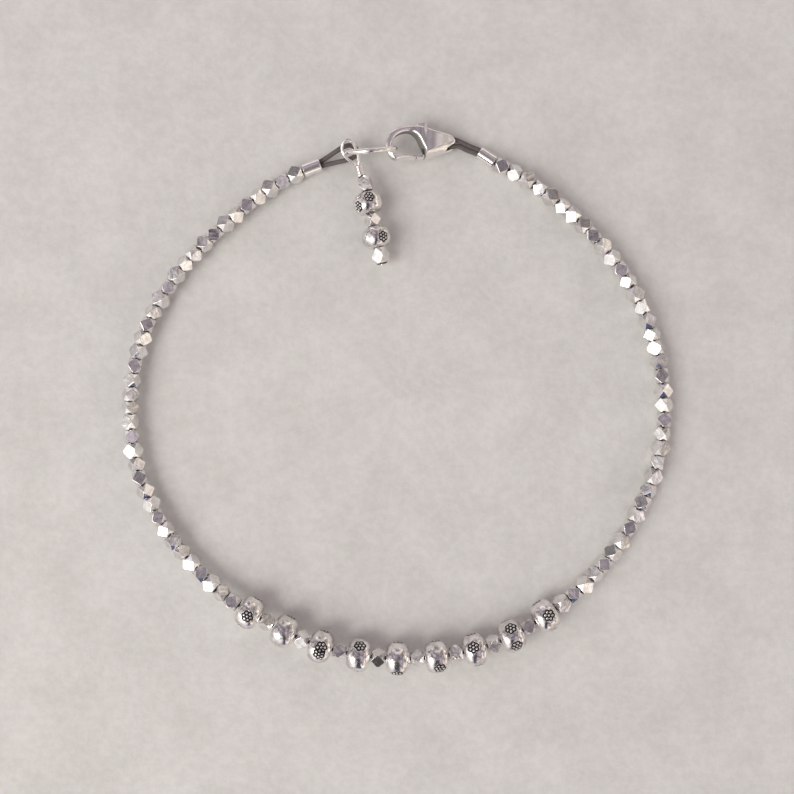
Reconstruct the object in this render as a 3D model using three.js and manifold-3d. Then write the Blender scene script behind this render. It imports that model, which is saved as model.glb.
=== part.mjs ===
// A beaded bracelet lying closed on a surface: faceted silver nuggets and nine stamped silver
// barrel beads on a cord, crimped at both ends into cord loops that hold a lobster clasp and a
// jump ring. A short wire dangle hangs on the ring and lies inside the loop.
//
// Millimetres, +Z up. The origin is the middle of the bounding box, on the surface below it.
// The strand is laid out round the loop's own centre and moved to the origin at the end.

import * as THREE from "three";
import { mergeVertices } from "three/addons/utils/BufferGeometryUtils.js";
import { ConvexGeometry } from "three/addons/geometries/ConvexGeometry.js";
import Module from "manifold-3d";

const wasm = await Module();
wasm.setup();

// ---------------------------------------------------------------- driving dimensions

const CORD_RADIUS = 0.28;
const CORD_SIDES = 8;
const THREAD_RADIUS = 0.24;
const THREAD_SIDES = 6;
const THREAD_STEP = 1.15;

// The strand's centre line, clockwise from the mouth of the right crimp. Bearings are degrees
// from +X towards +Y about the loop's centre.
const STRAND_ROWS = [
  { bearing: 72, radius: 33.72, height: 1.05 },
  { bearing: 67.9, radius: 33.18, height: 1.05 },
  { bearing: 60, radius: 33.0, height: 1.2 },
  { bearing: 45, radius: 32.83, height: 1.25 },
  { bearing: 30, radius: 33.28, height: 1.25 },
  { bearing: 15, radius: 33.78, height: 1.25 },
  { bearing: 0, radius: 34.13, height: 1.25 },
  { bearing: -15, radius: 34.2, height: 1.25 },
  { bearing: -30, radius: 33.8, height: 1.25 },
  { bearing: -42, radius: 33.6, height: 1.3 },
  { bearing: -49, radius: 33.3, height: 1.75 },
  { bearing: -55.6, radius: 33.1, height: 2.05 },
  { bearing: -64.4, radius: 33.19, height: 2.05 },
  { bearing: -73, radius: 33.05, height: 2.05 },
  { bearing: -81.7, radius: 32.86, height: 2.05 },
  { bearing: -90.2, radius: 32.72, height: 2.05 },
  { bearing: -98.7, radius: 32.65, height: 2.05 },
  { bearing: -107.3, radius: 32.69, height: 2.05 },
  { bearing: -116, radius: 32.62, height: 2.05 },
  { bearing: -124.8, radius: 32.82, height: 2.05 },
  { bearing: -131.5, radius: 33.15, height: 1.75 },
  { bearing: -138, radius: 33.48, height: 1.3 },
  { bearing: -150, radius: 34.0, height: 1.25 },
  { bearing: -165, radius: 34.52, height: 1.25 },
  { bearing: -180, radius: 34.39, height: 1.25 },
  { bearing: -195, radius: 33.76, height: 1.25 },
  { bearing: -210, radius: 32.79, height: 1.25 },
  { bearing: -225, radius: 31.87, height: 1.25 },
  { bearing: -240, radius: 32.05, height: 1.2 },
  { bearing: -247.8, radius: 32.14, height: 1.05 },
  { bearing: -251.9, radius: 32.21, height: 1.05 },
];

// Faceted nuggets: a cube with its corners cut back to the middle of every edge.
const NUGGET_HALF = 0.87;
const NUGGETS_A_SIDE = 38;
const NUGGET_GAP = 0.1;
const STRING_GAP = 0.16;
const FRONT_NUGGET_LENGTH = 1.66;
const BORE_RADIUS = 0.42;
const BORE_SIDES = 8;
// How far each nugget is turned about the string, and its width and length against the mean.
// The rows are used in turn along the string.
const NUGGET_FORMS = [
  { roll: 8, width: 1.0, length: 1.02 },
  { roll: 41, width: 0.96, length: 0.94 },
  { roll: 67, width: 1.04, length: 1.05 },
  { roll: 22, width: 0.98, length: 0.97 },
  { roll: 84, width: 1.0, length: 1.08 },
  { roll: 53, width: 0.94, length: 0.92 },
  { roll: 33, width: 1.03, length: 1.0 },
  { roll: 75, width: 0.99, length: 0.96 },
  { roll: 12, width: 0.95, length: 1.06 },
  { roll: 60, width: 1.02, length: 1.01 },
  { roll: 47, width: 1.0, length: 0.99 },
];

// Stamped barrel beads.
const BEAD_RADIUS = 2.05;
const BEAD_LENGTH = 3.0;
const BEAD_SIDES = 12;
const BEAD_PITCH = 5.0;
// The middle bead's place along the strand, as a share of its length.
const FRONT_MIDDLE_SHARE = 0.5023;
// The barrel's outline from one end to the middle: share of the half length, share of the radius.
const BARREL_ROWS = [
  { along: 1.0, radius: 0.5 },
  { along: 0.82, radius: 0.78 },
  { along: 0.45, radius: 0.95 },
  { along: 0.0, radius: 1.0 },
];
const ROSETTE = { petals: 6, tip: 0.62, notch: 0.33, proud: 0.03, root: 0.35 };
// Where the rosettes stand on each bead: turned about the string from the top, with the outside
// of the loop positive, and moved along the bead.
const FRONT_STAMPS = [
  { bead: 1, rolls: [5, 75, 140, 220, 290], shift: 0.25 },
  { bead: 2, rolls: [75, 137, 223, 285], shift: 0 },
  { bead: 3, rolls: [-8, 17, 100, 140, 225, 285], shift: 0 },
  { bead: 4, rolls: [-45, 78, 138, 222], shift: 0 },
  { bead: 5, rolls: [-80, 55, 125, 220], shift: 0 },
  { bead: 6, rolls: [-54, 32, 110, 222], shift: -0.25 },
  { bead: 7, rolls: [-14, 68, 140, 222, 290], shift: 0 },
  { bead: 8, rolls: [-30, 35, 100, 142, 250], shift: -0.3 },
  { bead: 9, rolls: [0, 72, 140, 220, 288], shift: -0.5 },
];

// Crimp tubes.
const CRIMP = { length: 2.35, radius: 0.83, mouth: 0.72, edge: 0.08, sides: 12, recess: 0.6 };
const STRAND_OFFSET = 0.3;
// How far the thread and the cord loops reach into a crimp, and the front cord past its beads.
const THREAD_DEPTH = 0.42;
const CORD_DEPTH = 0.45;
const FRONT_CORD_REACH = 0.36;

// The right cord loop round the post in the clasp's tail, from the tail's centre.
const RIGHT_LOOP_STEPS = 28;
const RIGHT_LOOP = [
  [2.49, -0.96], [1.48, -0.57], [0.85, -0.44], [0.3, -0.44], [-0.25, -0.3], [-0.48, 0.12],
  [-0.25, 0.54], [0.3, 0.68], [1.05, 0.33], [1.7, -0.03], [2.7, -0.42],
];
// The left cord loop round the ring's wire: forward, sideways and up from the wire.
const LEFT_LOOP_STEPS = 24;
const LEFT_LOOP = [
  [-1.9, 0.55, -0.3], [-0.6, 0.88, -0.02], [0.35, 0.78, 0.04], [0.9, 0, 0.06],
  [0.35, -0.78, 0.04], [-0.6, -0.88, -0.02], [-1.9, -0.55, -0.3],
];
const LEFT_LOOP_AT = 206;

// Jump ring, standing on its edge and leaning into the loop.
const RING = { radius: 3.05, wire: 0.325, sides: 6, segments: 26 };
const RING_CENTRE = { x: -3.3, y: 31.78 };
const RING_TURN = 4.3;
const RING_LEAN = 17;

// Lobster clasp, in its own frame: x runs from the hook, at the left, to the tail, y across the
// gate towards the spine, and z through the thickness. The tail eye's centre is the origin.
const CLASP_AT = { x: 6.7, y: 33.2, z: 0.92 };
const CLASP_TILT = 12.5;
const CLASP_OUTLINE = [
  [-8.6, -0.4], [-8.08, 0.95], [-6.8, 1.78], [-4.9, 2.06], [-3.5, 1.96], [-2.2, 1.6],
  [-1.0, 1.42], [0.2, 1.1], [0.78, 0.25], [0.3, -0.76], [-1.4, -1.48], [-3.2, -2.12],
  [-5.0, -2.26], [-6.3, -2.3], [-7.3, -2.56], [-8.3, -1.78],
];
const CLASP_HOLE = [
  [-7.82, -0.6], [-7.32, 0.4], [-6.2, 1.05], [-5.2, 1.1], [-4.45, 0.58], [-3.98, -0.25],
  [-3.48, -1.3], [-3.68, -1.74], [-5.0, -1.8], [-6.7, -1.82], [-7.74, -1.5],
];
const CLASP_PROFILE = [
  { x: -8.9, half: 0.58 },
  { x: -7.4, half: 0.68 },
  { x: -5.2, half: 0.84 },
  { x: -3.9, half: 1.1 },
  { x: -2.6, half: 1.18 },
  { x: -1.3, half: 1.0 },
  { x: -0.3, half: 0.76 },
  { x: 1.1, half: 0.62 },
];
const CLASP_BEVEL = 0.24;
const CLASP_OUTLINE_STEPS = 34;
const CLASP_HOLE_STEPS = 20;
// Half the thickness of a cut that goes right through the clasp.
const CUT_THROUGH = 4;
// The cord runs round a post in the tail, in a channel cut this much wider than the cord.
const CHANNEL_CLEARANCE = 0.1;

// The spring lever: a gate that closes the hook, and an arm that ends in the thumb nub.
const LEVER_PIVOT = { x: -2.5, y: -1.08 };
const LEVER_SWING = 28;
const LEVER_GATE = [[-4.52, -1.99], [-3.6, -1.93], [-2.5, -1.08]];
const LEVER_ARM = [[-2.5, -1.08], [-2.75, 0.1], [-3.3, 1.3], [-4.05, 2.5]];
const GATE_HALF_WIDTH = 0.24;
const ARM_HALF_WIDTH = 0.27;
const GATE_HALF_THICKNESS = 0.72;
const LEVER_HALF_THICKNESS = 0.42;
const LEVER_BOSS = 0.44;
const LEVER_CLEARANCE = 0.13;
const LEVER_SIDES = 12;
const GATE_BEVEL = 0.12;
const PIN = { radius: 0.2, length: 1.6, clearance: 0.11 };
// The gap between the hook's tip and the lever's root, which the gate closes.
const GATE_GAP = { left: -4.72, right: -3.25, top: -1.59, bottom: -2.79 };

// The dangle: a head pin whose wire loop hangs on the ring, lying towards the loop's centre.
const PIN_WIRE = 0.19;
const PIN_WIRE_SIDES = 6;
const DANGLE_START = { x: -5.06, y: 30.5 };
const DANGLE_BEARING = -76.4;
const DANGLE_LENGTH = 13.32;
const DANGLE_HEAD = { radius: 0.45, thickness: 0.2 };
const WRAPS = { count: 5, length: 1.85, radius: 0.56, groove: 0.42, sides: 10 };
// The flat crest of each wrap, as shares of its length.
const WRAP_CREST = [0.3, 0.7];
const DANGLE_NUGGETS = [
  { name: 1, at: 2.82, length: 1.7, width: 0.84, roll: 20, aside: 0.3, bore: 0.31 },
  { name: 2, at: 7.5, length: 1.55, width: 0.9, roll: 52, aside: 0, bore: BORE_RADIUS },
  { name: 3, at: 12.16, length: 1.95, width: 1.0, roll: 35, aside: 0, bore: BORE_RADIUS },
];
const DANGLE_BEAD_SCALE = 0.9;
const DANGLE_STAMPED = [
  { name: 1, at: 5.25, stamps: [{ roll: 6, shift: -0.75 }, { roll: -46, shift: 0 },
    { roll: 80, shift: 0 }, { roll: 140, shift: 0 }, { roll: 222, shift: 0 }] },
  { name: 2, at: 9.75, stamps: [{ roll: 18, shift: 0 }, { roll: -58, shift: 0 },
    { roll: 92, shift: 0 }, { roll: 142, shift: 0 }, { roll: 225, shift: 0 }] },
];
// The wire loop's centre line from the dangle's start, round the ring and back.
const EYELET_STEPS = 22;
const EYELET = [
  [0.05, -0.15, 0], [0.04, 0.57, 0.4], [-0.07, 1.23, 0.82], [-0.32, 1.77, 1.14],
  [-0.71, 2.3, 1.45], [-1.26, 2.58, 1.62], [-1.83, 2.2, 1.45], [-2.02, 1.6, 1.2],
  [-1.9, 1.0, 0.95], [-1.42, 0.44, 0.7], [-0.75, 0.03, 0.4], [-0.2, -0.25, 0],
];

// ---------------------------------------------------------------- materials

const silver = (colour, roughness) =>
  new THREE.MeshStandardMaterial({ color: colour, roughness, metalness: 1 });
const MATERIALS = {
  nugget: silver(0xd2cdc9, 0.18),
  stamped: silver(0xc8c2bd, 0.28),
  finding: silver(0xcbc4c8, 0.2),
  cord: new THREE.MeshStandardMaterial({ color: 0x675f5c, roughness: 0.9, metalness: 0 }),
};

// ---------------------------------------------------------------- geometry helpers

const SIMPLIFY_TOLERANCE = 0.001;
const rad = THREE.MathUtils.degToRad;
const vec = (x, y, z = 0) => new THREE.Vector3(x, y, z);

/** A closed geometry as a solid that can be joined and cut. */
function solidOf(geometry) {
  const bare = geometry.index ? geometry.toNonIndexed() : geometry.clone();
  for (const name of Object.keys(bare.attributes)) {
    if (name !== "position") bare.deleteAttribute(name);
  }
  const merged = mergeVertices(bare, 1e-4);
  const vertProperties = new Float32Array(merged.attributes.position.array);
  const triVerts = new Uint32Array(merged.index.array);
  const made = new wasm.Manifold(new wasm.Mesh({ numProp: 3, vertProperties, triVerts }));
  if (made.volume() >= 0) return made;
  for (let i = 0; i < triVerts.length; i += 3) {
    [triVerts[i + 1], triVerts[i + 2]] = [triVerts[i + 2], triVerts[i + 1]];
  }
  return new wasm.Manifold(new wasm.Mesh({ numProp: 3, vertProperties, triVerts }));
}

/** A solid as a flat-shaded geometry, without the needless corners that joins leave. */
function geometryOf(solid) {
  const mesh = solid.asOriginal().simplify(SIMPLIFY_TOLERANCE).getMesh();
  const positions = new Float32Array(mesh.numVert * 3);
  for (let i = 0; i < mesh.numVert; i++) {
    const start = i * mesh.numProp;
    positions.set(mesh.vertProperties.subarray(start, start + 3), i * 3);
  }
  const indexed = new THREE.BufferGeometry()
    .setAttribute("position", new THREE.BufferAttribute(positions, 3))
    .setIndex(new THREE.BufferAttribute(new Uint32Array(mesh.triVerts), 1));
  const flat = indexed.toNonIndexed();
  flat.computeVertexNormals();
  return flat;
}

const bracelet = new THREE.Group();

/** Adds one named piece to a group. */
function addPiece(name, geometry, material, group = bracelet) {
  const mesh = new THREE.Mesh(geometry, material);
  mesh.name = name;
  group.add(mesh);
  return mesh;
}

/** A regular polygon of the given circumradius, with a corner straight down. */
function polygonShape(radius, sides) {
  const corners = Array.from({ length: sides }, (_, i) => {
    const angle = -Math.PI / 2 + (i / sides) * 2 * Math.PI;
    return new THREE.Vector2(radius * Math.cos(angle), radius * Math.sin(angle));
  });
  return new THREE.Shape(corners);
}

/** A tube of constant radius along an open curve, with closed ends. */
function tube(curve, radius, sides, steps) {
  return new THREE.ExtrudeGeometry(polygonShape(radius, sides), {
    steps,
    extrudePath: curve,
    bevelEnabled: false,
  });
}

/** A prism of a shape, its thickness centred on z = 0, with its edges taken off by a bevel. */
function slab(shape, halfThickness, bevel = 0) {
  const geometry = new THREE.ExtrudeGeometry(shape, {
    depth: 2 * (halfThickness - bevel),
    bevelEnabled: bevel > 0,
    bevelThickness: bevel,
    bevelSize: bevel,
    bevelOffset: -bevel,
    bevelSegments: 2,
  });
  return geometry.translate(0, 0, bevel - halfThickness);
}

/** A cylinder along x, centred on the origin. */
function rod(radius, length, sides) {
  return new THREE.CylinderGeometry(radius, radius, length, sides).rotateZ(Math.PI / 2);
}

/** A solid of revolution about x from rows of [x, radius]. */
function turned(rows, sides) {
  const profile = rows.map(([x, radius]) => new THREE.Vector2(radius, x));
  return new THREE.LatheGeometry(profile, sides).rotateZ(-Math.PI / 2);
}

/** The closed smooth outline through a few points, as a list of 2-D points. */
function smoothOutline(points, divisions) {
  const curve = new THREE.CatmullRomCurve3(points.map(([x, y]) => vec(x, y)), true);
  return curve.getPoints(divisions).slice(0, -1).map((p) => new THREE.Vector2(p.x, p.y));
}

/** The placement of a piece whose own x lies along a direction, rolled about it from upright. */
function along(position, direction, rollDegrees = 0) {
  const x = direction.clone().normalize();
  const y = vec(0, 0, 1).cross(x).normalize();
  const z = x.clone().cross(y);
  const matrix = new THREE.Matrix4().makeBasis(x, y, z);
  matrix.multiply(new THREE.Matrix4().makeRotationX(rad(rollDegrees)));
  return matrix.setPosition(position);
}

// ---------------------------------------------------------------- the strand

const strandCurve = new THREE.CatmullRomCurve3(
  STRAND_ROWS.map(({ bearing, radius, height }) =>
    vec(radius * Math.cos(rad(bearing)), radius * Math.sin(rad(bearing)), height)),
  false,
  "centripetal",
);
strandCurve.arcLengthDivisions = 2400;
const STRAND_LENGTH = strandCurve.getLength();
const FRONT_MIDDLE = FRONT_MIDDLE_SHARE * STRAND_LENGTH;
const FRONT_HALF = 4 * BEAD_PITCH + BEAD_LENGTH / 2;
const CRIMP_SPAN = CRIMP.length + STRING_GAP;

const pointAt = (distance) => strandCurve.getPointAt(distance / STRAND_LENGTH);
const directionAt = (distance) => strandCurve.getTangentAt(distance / STRAND_LENGTH);
const onStrand = (distance, roll = 0) => along(pointAt(distance), directionAt(distance), roll);

/** A thread through a list of points, straight from one to the next. */
function threadThrough(points) {
  const path = new THREE.CurvePath();
  points.slice(1).forEach((point, i) => path.add(new THREE.LineCurve3(points[i], point)));
  return tube(path, THREAD_RADIUS, THREAD_SIDES, points.length - 1);
}

// ---------------------------------------------------------------- beads

/** A nugget along x: the twelve corners in the middles of a cube's edges. */
function nuggetGeometry(length, width, roll) {
  const a = length / 2;
  const b = NUGGET_HALF * width;
  const corners = [];
  for (const s of [-1, 1]) {
    for (const t of [-1, 1]) {
      corners.push(vec(s * a, t * b, 0), vec(s * a, 0, t * b), vec(0, s * b, t * b));
    }
  }
  return new ConvexGeometry(corners).rotateX(rad(roll));
}

/** A nugget moved aside along y from its hole, which is along x. */
function drilledNugget(length, width, roll, aside = 0, boreRadius = BORE_RADIUS) {
  const nugget = nuggetGeometry(length, width, roll).translate(0, aside, 0);
  const bore = rod(boreRadius, 2 * length, BORE_SIDES);
  return solidOf(nugget).subtract(solidOf(bore));
}

/** A six-petalled rosette that stands on a bead, its face up along z. */
function rosette(shift, roll) {
  const corners = Array.from({ length: 2 * ROSETTE.petals }, (_, i) => {
    const radius = i % 2 ? ROSETTE.notch : ROSETTE.tip;
    const angle = (i / ROSETTE.petals) * Math.PI;
    return new THREE.Vector2(shift + radius * Math.cos(angle), radius * Math.sin(angle));
  });
  const face = BEAD_RADIUS + ROSETTE.proud;
  const prism = new THREE.ExtrudeGeometry(new THREE.Shape(corners), {
    depth: ROSETTE.root,
    bevelEnabled: false,
  }).translate(0, 0, face - ROSETTE.root);
  return solidOf(prism.rotateX(rad(roll)));
}

/** A drilled barrel bead along x with raised rosettes round its middle. */
function stampedBead(stamps) {
  const half = BEAD_LENGTH / 2;
  const side = BARREL_ROWS.map(({ along: x, radius }) => [x * half, radius * BEAD_RADIUS]);
  const outline = [
    [half, BORE_RADIUS],
    ...side,
    ...side.slice(0, -1).reverse().map(([x, radius]) => [-x, radius]),
    [-half, BORE_RADIUS],
    [half, BORE_RADIUS],
  ];
  const barrel = solidOf(turned(outline, BEAD_SIDES).rotateX(Math.PI / 2));
  return stamps.reduce((bead, { roll, shift }) => bead.add(rosette(shift, roll)), barrel);
}

/** One side string: nuggets fused on their thread between two distances. */
function nuggetString(from, to) {
  const forms = Array.from({ length: NUGGETS_A_SIDE }, (_, i) =>
    NUGGET_FORMS[i % NUGGET_FORMS.length]);
  const scale = (to - from) / forms.reduce((sum, form) => sum + form.length, 0);
  const nuggets = [];
  const threadPoints = [];
  let start = from;
  for (const form of forms) {
    const pitch = form.length * scale;
    const middle = start + pitch / 2;
    const geometry = nuggetGeometry(pitch - NUGGET_GAP, form.width, form.roll);
    nuggets.push(solidOf(geometry.applyMatrix4(onStrand(middle))));
    threadPoints.push(pointAt(middle));
    start += pitch;
  }
  const thread = solidOf(threadThrough(threadPoints));
  return nuggets.reduce((sum, nugget) => sum.add(nugget), thread);
}

/** A short thread end that leaves a string and stops inside a crimp. */
function threadEnd(inside, outside) {
  return solidOf(threadThrough([pointAt(inside), pointAt(outside)]));
}

const FRONT_START = FRONT_MIDDLE - FRONT_HALF;
const FRONT_END = FRONT_MIDDLE + FRONT_HALF;
const LEFT_CRIMP_START = STRAND_LENGTH - CRIMP_SPAN;

/** The two side strings, each with a thread end for its crimp and a bore for the front cord. */
function addSideStrings() {
  const frontBore = (distance) =>
    solidOf(rod(BORE_RADIUS, 2 * (FRONT_CORD_REACH + STRING_GAP), BORE_SIDES)
      .applyMatrix4(onStrand(distance)));
  const right = nuggetString(CRIMP_SPAN, FRONT_START - STRING_GAP)
    .add(threadEnd(CRIMP_SPAN + NUGGET_HALF, CRIMP.length - THREAD_DEPTH))
    .subtract(frontBore(FRONT_START - STRING_GAP));
  const left = nuggetString(FRONT_END + STRING_GAP, LEFT_CRIMP_START)
    .add(threadEnd(LEFT_CRIMP_START - NUGGET_HALF, STRAND_LENGTH - CRIMP.length + THREAD_DEPTH))
    .subtract(frontBore(FRONT_END + STRING_GAP));
  addPiece("right_nugget_string", geometryOf(right), MATERIALS.nugget);
  addPiece("left_nugget_string", geometryOf(left), MATERIALS.nugget);
}

/** The front: stamped beads and nuggets in turn on a cord of their own. */
function addFront() {
  const count = Math.round((2 * FRONT_HALF) / THREAD_STEP);
  const start = FRONT_START - FRONT_CORD_REACH;
  const points = Array.from({ length: count + 1 }, (_, i) =>
    pointAt(start + (2 * (FRONT_HALF + FRONT_CORD_REACH) * i) / count));
  addPiece("front_cord", threadThrough(points), MATERIALS.cord);

  for (const { bead, rolls, shift } of FRONT_STAMPS) {
    const distance = FRONT_MIDDLE + (5 - bead) * BEAD_PITCH;
    const stamps = rolls.map((roll) => ({ roll: -roll, shift }));
    const mesh = addPiece(`stamped_bead_${bead}`, geometryOf(stampedBead(stamps)),
      MATERIALS.stamped);
    mesh.applyMatrix4(onStrand(distance));
  }
  for (let i = 1; i < FRONT_STAMPS.length; i++) {
    const form = NUGGET_FORMS[i];
    const distance = FRONT_MIDDLE + (4.5 - i) * BEAD_PITCH;
    const nugget = drilledNugget(FRONT_NUGGET_LENGTH, form.width, form.roll);
    addPiece(`front_nugget_${i}`, geometryOf(nugget), MATERIALS.nugget)
      .applyMatrix4(onStrand(distance));
  }
}

// ---------------------------------------------------------------- crimps and cord loops

/** A crimp tube along x from 0 to its length, with a recess in each end. */
function crimpGeometry() {
  const { length, radius, mouth, edge, sides, recess } = CRIMP;
  return turned([
    [recess, 0], [recess, mouth], [0, mouth], [0, radius - edge], [edge, radius],
    [length - edge, radius], [length, radius - edge], [length, mouth],
    [length - recess, mouth], [length - recess, 0],
  ], sides);
}

/** A cord loop: out of a crimp's mouth, through the given points and back in. */
function cordLoop(name, mouth, outward, points, steps) {
  const side = vec(0, 0, 1).cross(outward).normalize();
  const strand = (sign, depth) => mouth.clone()
    .addScaledVector(outward, depth)
    .addScaledVector(side, sign * STRAND_OFFSET);
  const curve = new THREE.CatmullRomCurve3([
    strand(1, -CORD_DEPTH), strand(1, CRIMP.recess), ...points,
    strand(-1, CRIMP.recess), strand(-1, -CORD_DEPTH),
  ], false, "centripetal");
  addPiece(name, tube(curve, CORD_RADIUS, CORD_SIDES, steps), MATERIALS.cord);
  return curve;
}

// The ring's own directions: across the wires it joins, and up its leaning plane.
const ringAcross = vec(Math.cos(rad(RING_TURN)), Math.sin(rad(RING_TURN)));
const ringUp = vec(Math.sin(rad(RING_TURN)) * Math.sin(rad(RING_LEAN)),
  -Math.cos(rad(RING_TURN)) * Math.sin(rad(RING_LEAN)), Math.cos(rad(RING_LEAN)));
const ringHeight = RING.radius * Math.cos(rad(RING_LEAN)) + RING.wire;

/** The point of the ring's centre line at an angle from its right-hand side. */
function ringPoint(degrees) {
  return vec(RING_CENTRE.x, RING_CENTRE.y, ringHeight)
    .addScaledVector(ringAcross, RING.radius * Math.cos(rad(degrees)))
    .addScaledVector(ringUp, RING.radius * Math.sin(rad(degrees)));
}

/** The jump ring on its edge. */
function addRing() {
  const basis = new THREE.Matrix4()
    .makeBasis(ringAcross, ringUp, ringAcross.clone().cross(ringUp))
    .setPosition(RING_CENTRE.x, RING_CENTRE.y, ringHeight);
  const torus = new THREE.TorusGeometry(RING.radius, RING.wire, RING.sides, RING.segments);
  addPiece("jump_ring", torus, MATERIALS.finding).applyMatrix4(basis);
}

/** The left crimp, and the cord loop that holds the ring's left side. */
function addLeftEnd() {
  const mouth = pointAt(STRAND_LENGTH);
  const outward = directionAt(STRAND_LENGTH - CRIMP.length / 2).clone();
  addPiece("crimp_left", crimpGeometry(), MATERIALS.finding)
    .applyMatrix4(along(pointAt(STRAND_LENGTH - CRIMP.length), outward));
  const hold = ringPoint(LEFT_LOOP_AT);
  const ahead = hold.clone().sub(mouth).setZ(0).normalize();
  const across = vec(0, 0, 1).cross(ahead);
  const points = LEFT_LOOP.map(([forward, sideways, up]) => hold.clone()
    .addScaledVector(ahead, forward).addScaledVector(across, sideways).add(vec(0, 0, up)));
  cordLoop("cord_loop_left", mouth, outward, points, LEFT_LOOP_STEPS);
}

/** The right crimp, and the cord loop round the post in the clasp's tail. */
function addRightEnd() {
  const mouth = pointAt(0);
  const outward = directionAt(CRIMP.length / 2).clone().negate();
  addPiece("crimp_right", crimpGeometry(), MATERIALS.finding)
    .applyMatrix4(along(pointAt(CRIMP.length), outward));
  const points = RIGHT_LOOP.map(([x, y]) => vec(CLASP_AT.x + x, CLASP_AT.y + y, CLASP_AT.z));
  return cordLoop("cord_loop_right", mouth, outward, points, RIGHT_LOOP_STEPS);
}

// ---------------------------------------------------------------- clasp

/** The two edges of a bent strip of constant half width. */
function stripOutline(points, halfWidth) {
  const path = points.map(([x, y]) => new THREE.Vector2(x, y));
  const normals = path.map((point, i) => {
    const before = path[Math.max(i - 1, 0)];
    const after = path[Math.min(i + 1, path.length - 1)];
    const way = after.clone().sub(before).normalize();
    return new THREE.Vector2(-way.y, way.x);
  });
  const edge = (sign) => path.map((point, i) =>
    point.clone().addScaledVector(normals[i], sign * halfWidth));
  return { left: edge(1), right: edge(-1) };
}

/** A bent strip as a shape. */
function stripShape(points, halfWidth) {
  const { left, right } = stripOutline(points, halfWidth);
  return new THREE.Shape([...right, ...left.reverse()]);
}

/** Turns a 2-D point about the lever's pivot, clockwise as the lever opens. */
function swung(point, degrees) {
  const centre = new THREE.Vector2(LEVER_PIVOT.x, LEVER_PIVOT.y);
  return point.clone().rotateAround(centre, -rad(degrees));
}

/** A cylinder through the lever's pivot. */
function onPivot(radius, length) {
  return new THREE.CylinderGeometry(radius, radius, length, LEVER_SIDES)
    .rotateX(Math.PI / 2).translate(LEVER_PIVOT.x, LEVER_PIVOT.y, 0);
}

/** The pocket in which the lever's arm swings, open through the spine and at the gate. */
function leverPocket() {
  const reach = LEVER_HALF_THICKNESS + LEVER_CLEARANCE;
  const width = ARM_HALF_WIDTH + LEVER_CLEARANCE;
  const arm = stripOutline(LEVER_ARM, width);
  const gate = stripOutline([...LEVER_GATE].reverse(), width);
  const swept = new THREE.Shape([
    ...arm.left,
    ...arm.right.map((point) => swung(point, LEVER_SWING)).reverse(),
  ]);
  const root = new THREE.Shape([
    ...gate.left, ...gate.right.map((point) => swung(point, LEVER_SWING)).reverse(),
  ]);
  return [
    slab(swept, reach), slab(root, reach), onPivot(LEVER_BOSS + LEVER_CLEARANCE, 2 * reach),
  ];
}

/** The clasp's body: hook, spine, cheeks and tail, with the lever's pin. */
function claspBody(channel) {
  const outline = new THREE.Shape(smoothOutline(CLASP_OUTLINE, CLASP_OUTLINE_STEPS));
  const hole = new THREE.Shape(smoothOutline(CLASP_HOLE, CLASP_HOLE_STEPS));
  const widest = Math.max(...CLASP_PROFILE.map(({ half }) => half));
  const plan = solidOf(slab(outline, widest, CLASP_BEVEL))
    .subtract(solidOf(slab(hole, CUT_THROUGH)));
  const upper = CLASP_PROFILE.map(({ x, half }) => new THREE.Vector2(x, half));
  const lower = CLASP_PROFILE.map(({ x, half }) => new THREE.Vector2(x, -half)).reverse();
  const side = slab(new THREE.Shape([...upper, ...lower]), CUT_THROUGH).rotateX(Math.PI / 2);
  const { left, right, top, bottom } = GATE_GAP;
  const gap = slab(new THREE.Shape([
    new THREE.Vector2(left, bottom), new THREE.Vector2(right, bottom),
    new THREE.Vector2(right, top), new THREE.Vector2(left, top),
  ]), CUT_THROUGH);
  const cuts = [...leverPocket(), channel, gap];
  return cuts.reduce((body, cut) => body.subtract(solidOf(cut)), plan.intersect(solidOf(side)))
    .add(solidOf(onPivot(PIN.radius, PIN.length)));
}

/** The lever: gate, arm with thumb nub, and the boss round the pin. */
function claspLever() {
  const arm = solidOf(slab(stripShape(LEVER_ARM, ARM_HALF_WIDTH), LEVER_HALF_THICKNESS));
  const root = solidOf(slab(stripShape(LEVER_GATE, GATE_HALF_WIDTH), LEVER_HALF_THICKNESS));
  const gate = solidOf(slab(stripShape(LEVER_GATE.slice(0, 2), GATE_HALF_WIDTH),
    GATE_HALF_THICKNESS, GATE_BEVEL));
  const boss = solidOf(onPivot(LEVER_BOSS, 2 * LEVER_HALF_THICKNESS));
  const bore = solidOf(onPivot(PIN.radius + PIN.clearance, PIN.length));
  return arm.add(root).add(gate).add(boss).subtract(bore);
}

/** The clasp, tilted so that its hook rests in the ring, its tail cut for the cord. */
function addClasp(cordCurve) {
  const clasp = new THREE.Group();
  clasp.position.set(CLASP_AT.x, CLASP_AT.y, CLASP_AT.z);
  clasp.rotation.y = rad(CLASP_TILT);
  clasp.updateMatrix();
  bracelet.add(clasp);
  const channel = tube(cordCurve, CORD_RADIUS + CHANNEL_CLEARANCE, CORD_SIDES, RIGHT_LOOP_STEPS)
    .applyMatrix4(clasp.matrix.clone().invert());
  addPiece("clasp_body", geometryOf(claspBody(channel)), MATERIALS.finding, clasp);
  addPiece("clasp_lever", geometryOf(claspLever()), MATERIALS.finding, clasp);
}

// ---------------------------------------------------------------- dangle

const dangleWay = vec(Math.cos(rad(DANGLE_BEARING)), Math.sin(rad(DANGLE_BEARING)));
const dangleStart = vec(DANGLE_START.x, DANGLE_START.y, DANGLE_BEAD_SCALE * BEAD_RADIUS);
const onDangle = (distance, roll = 0) =>
  along(dangleStart.clone().addScaledVector(dangleWay, distance), dangleWay, roll);

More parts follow.
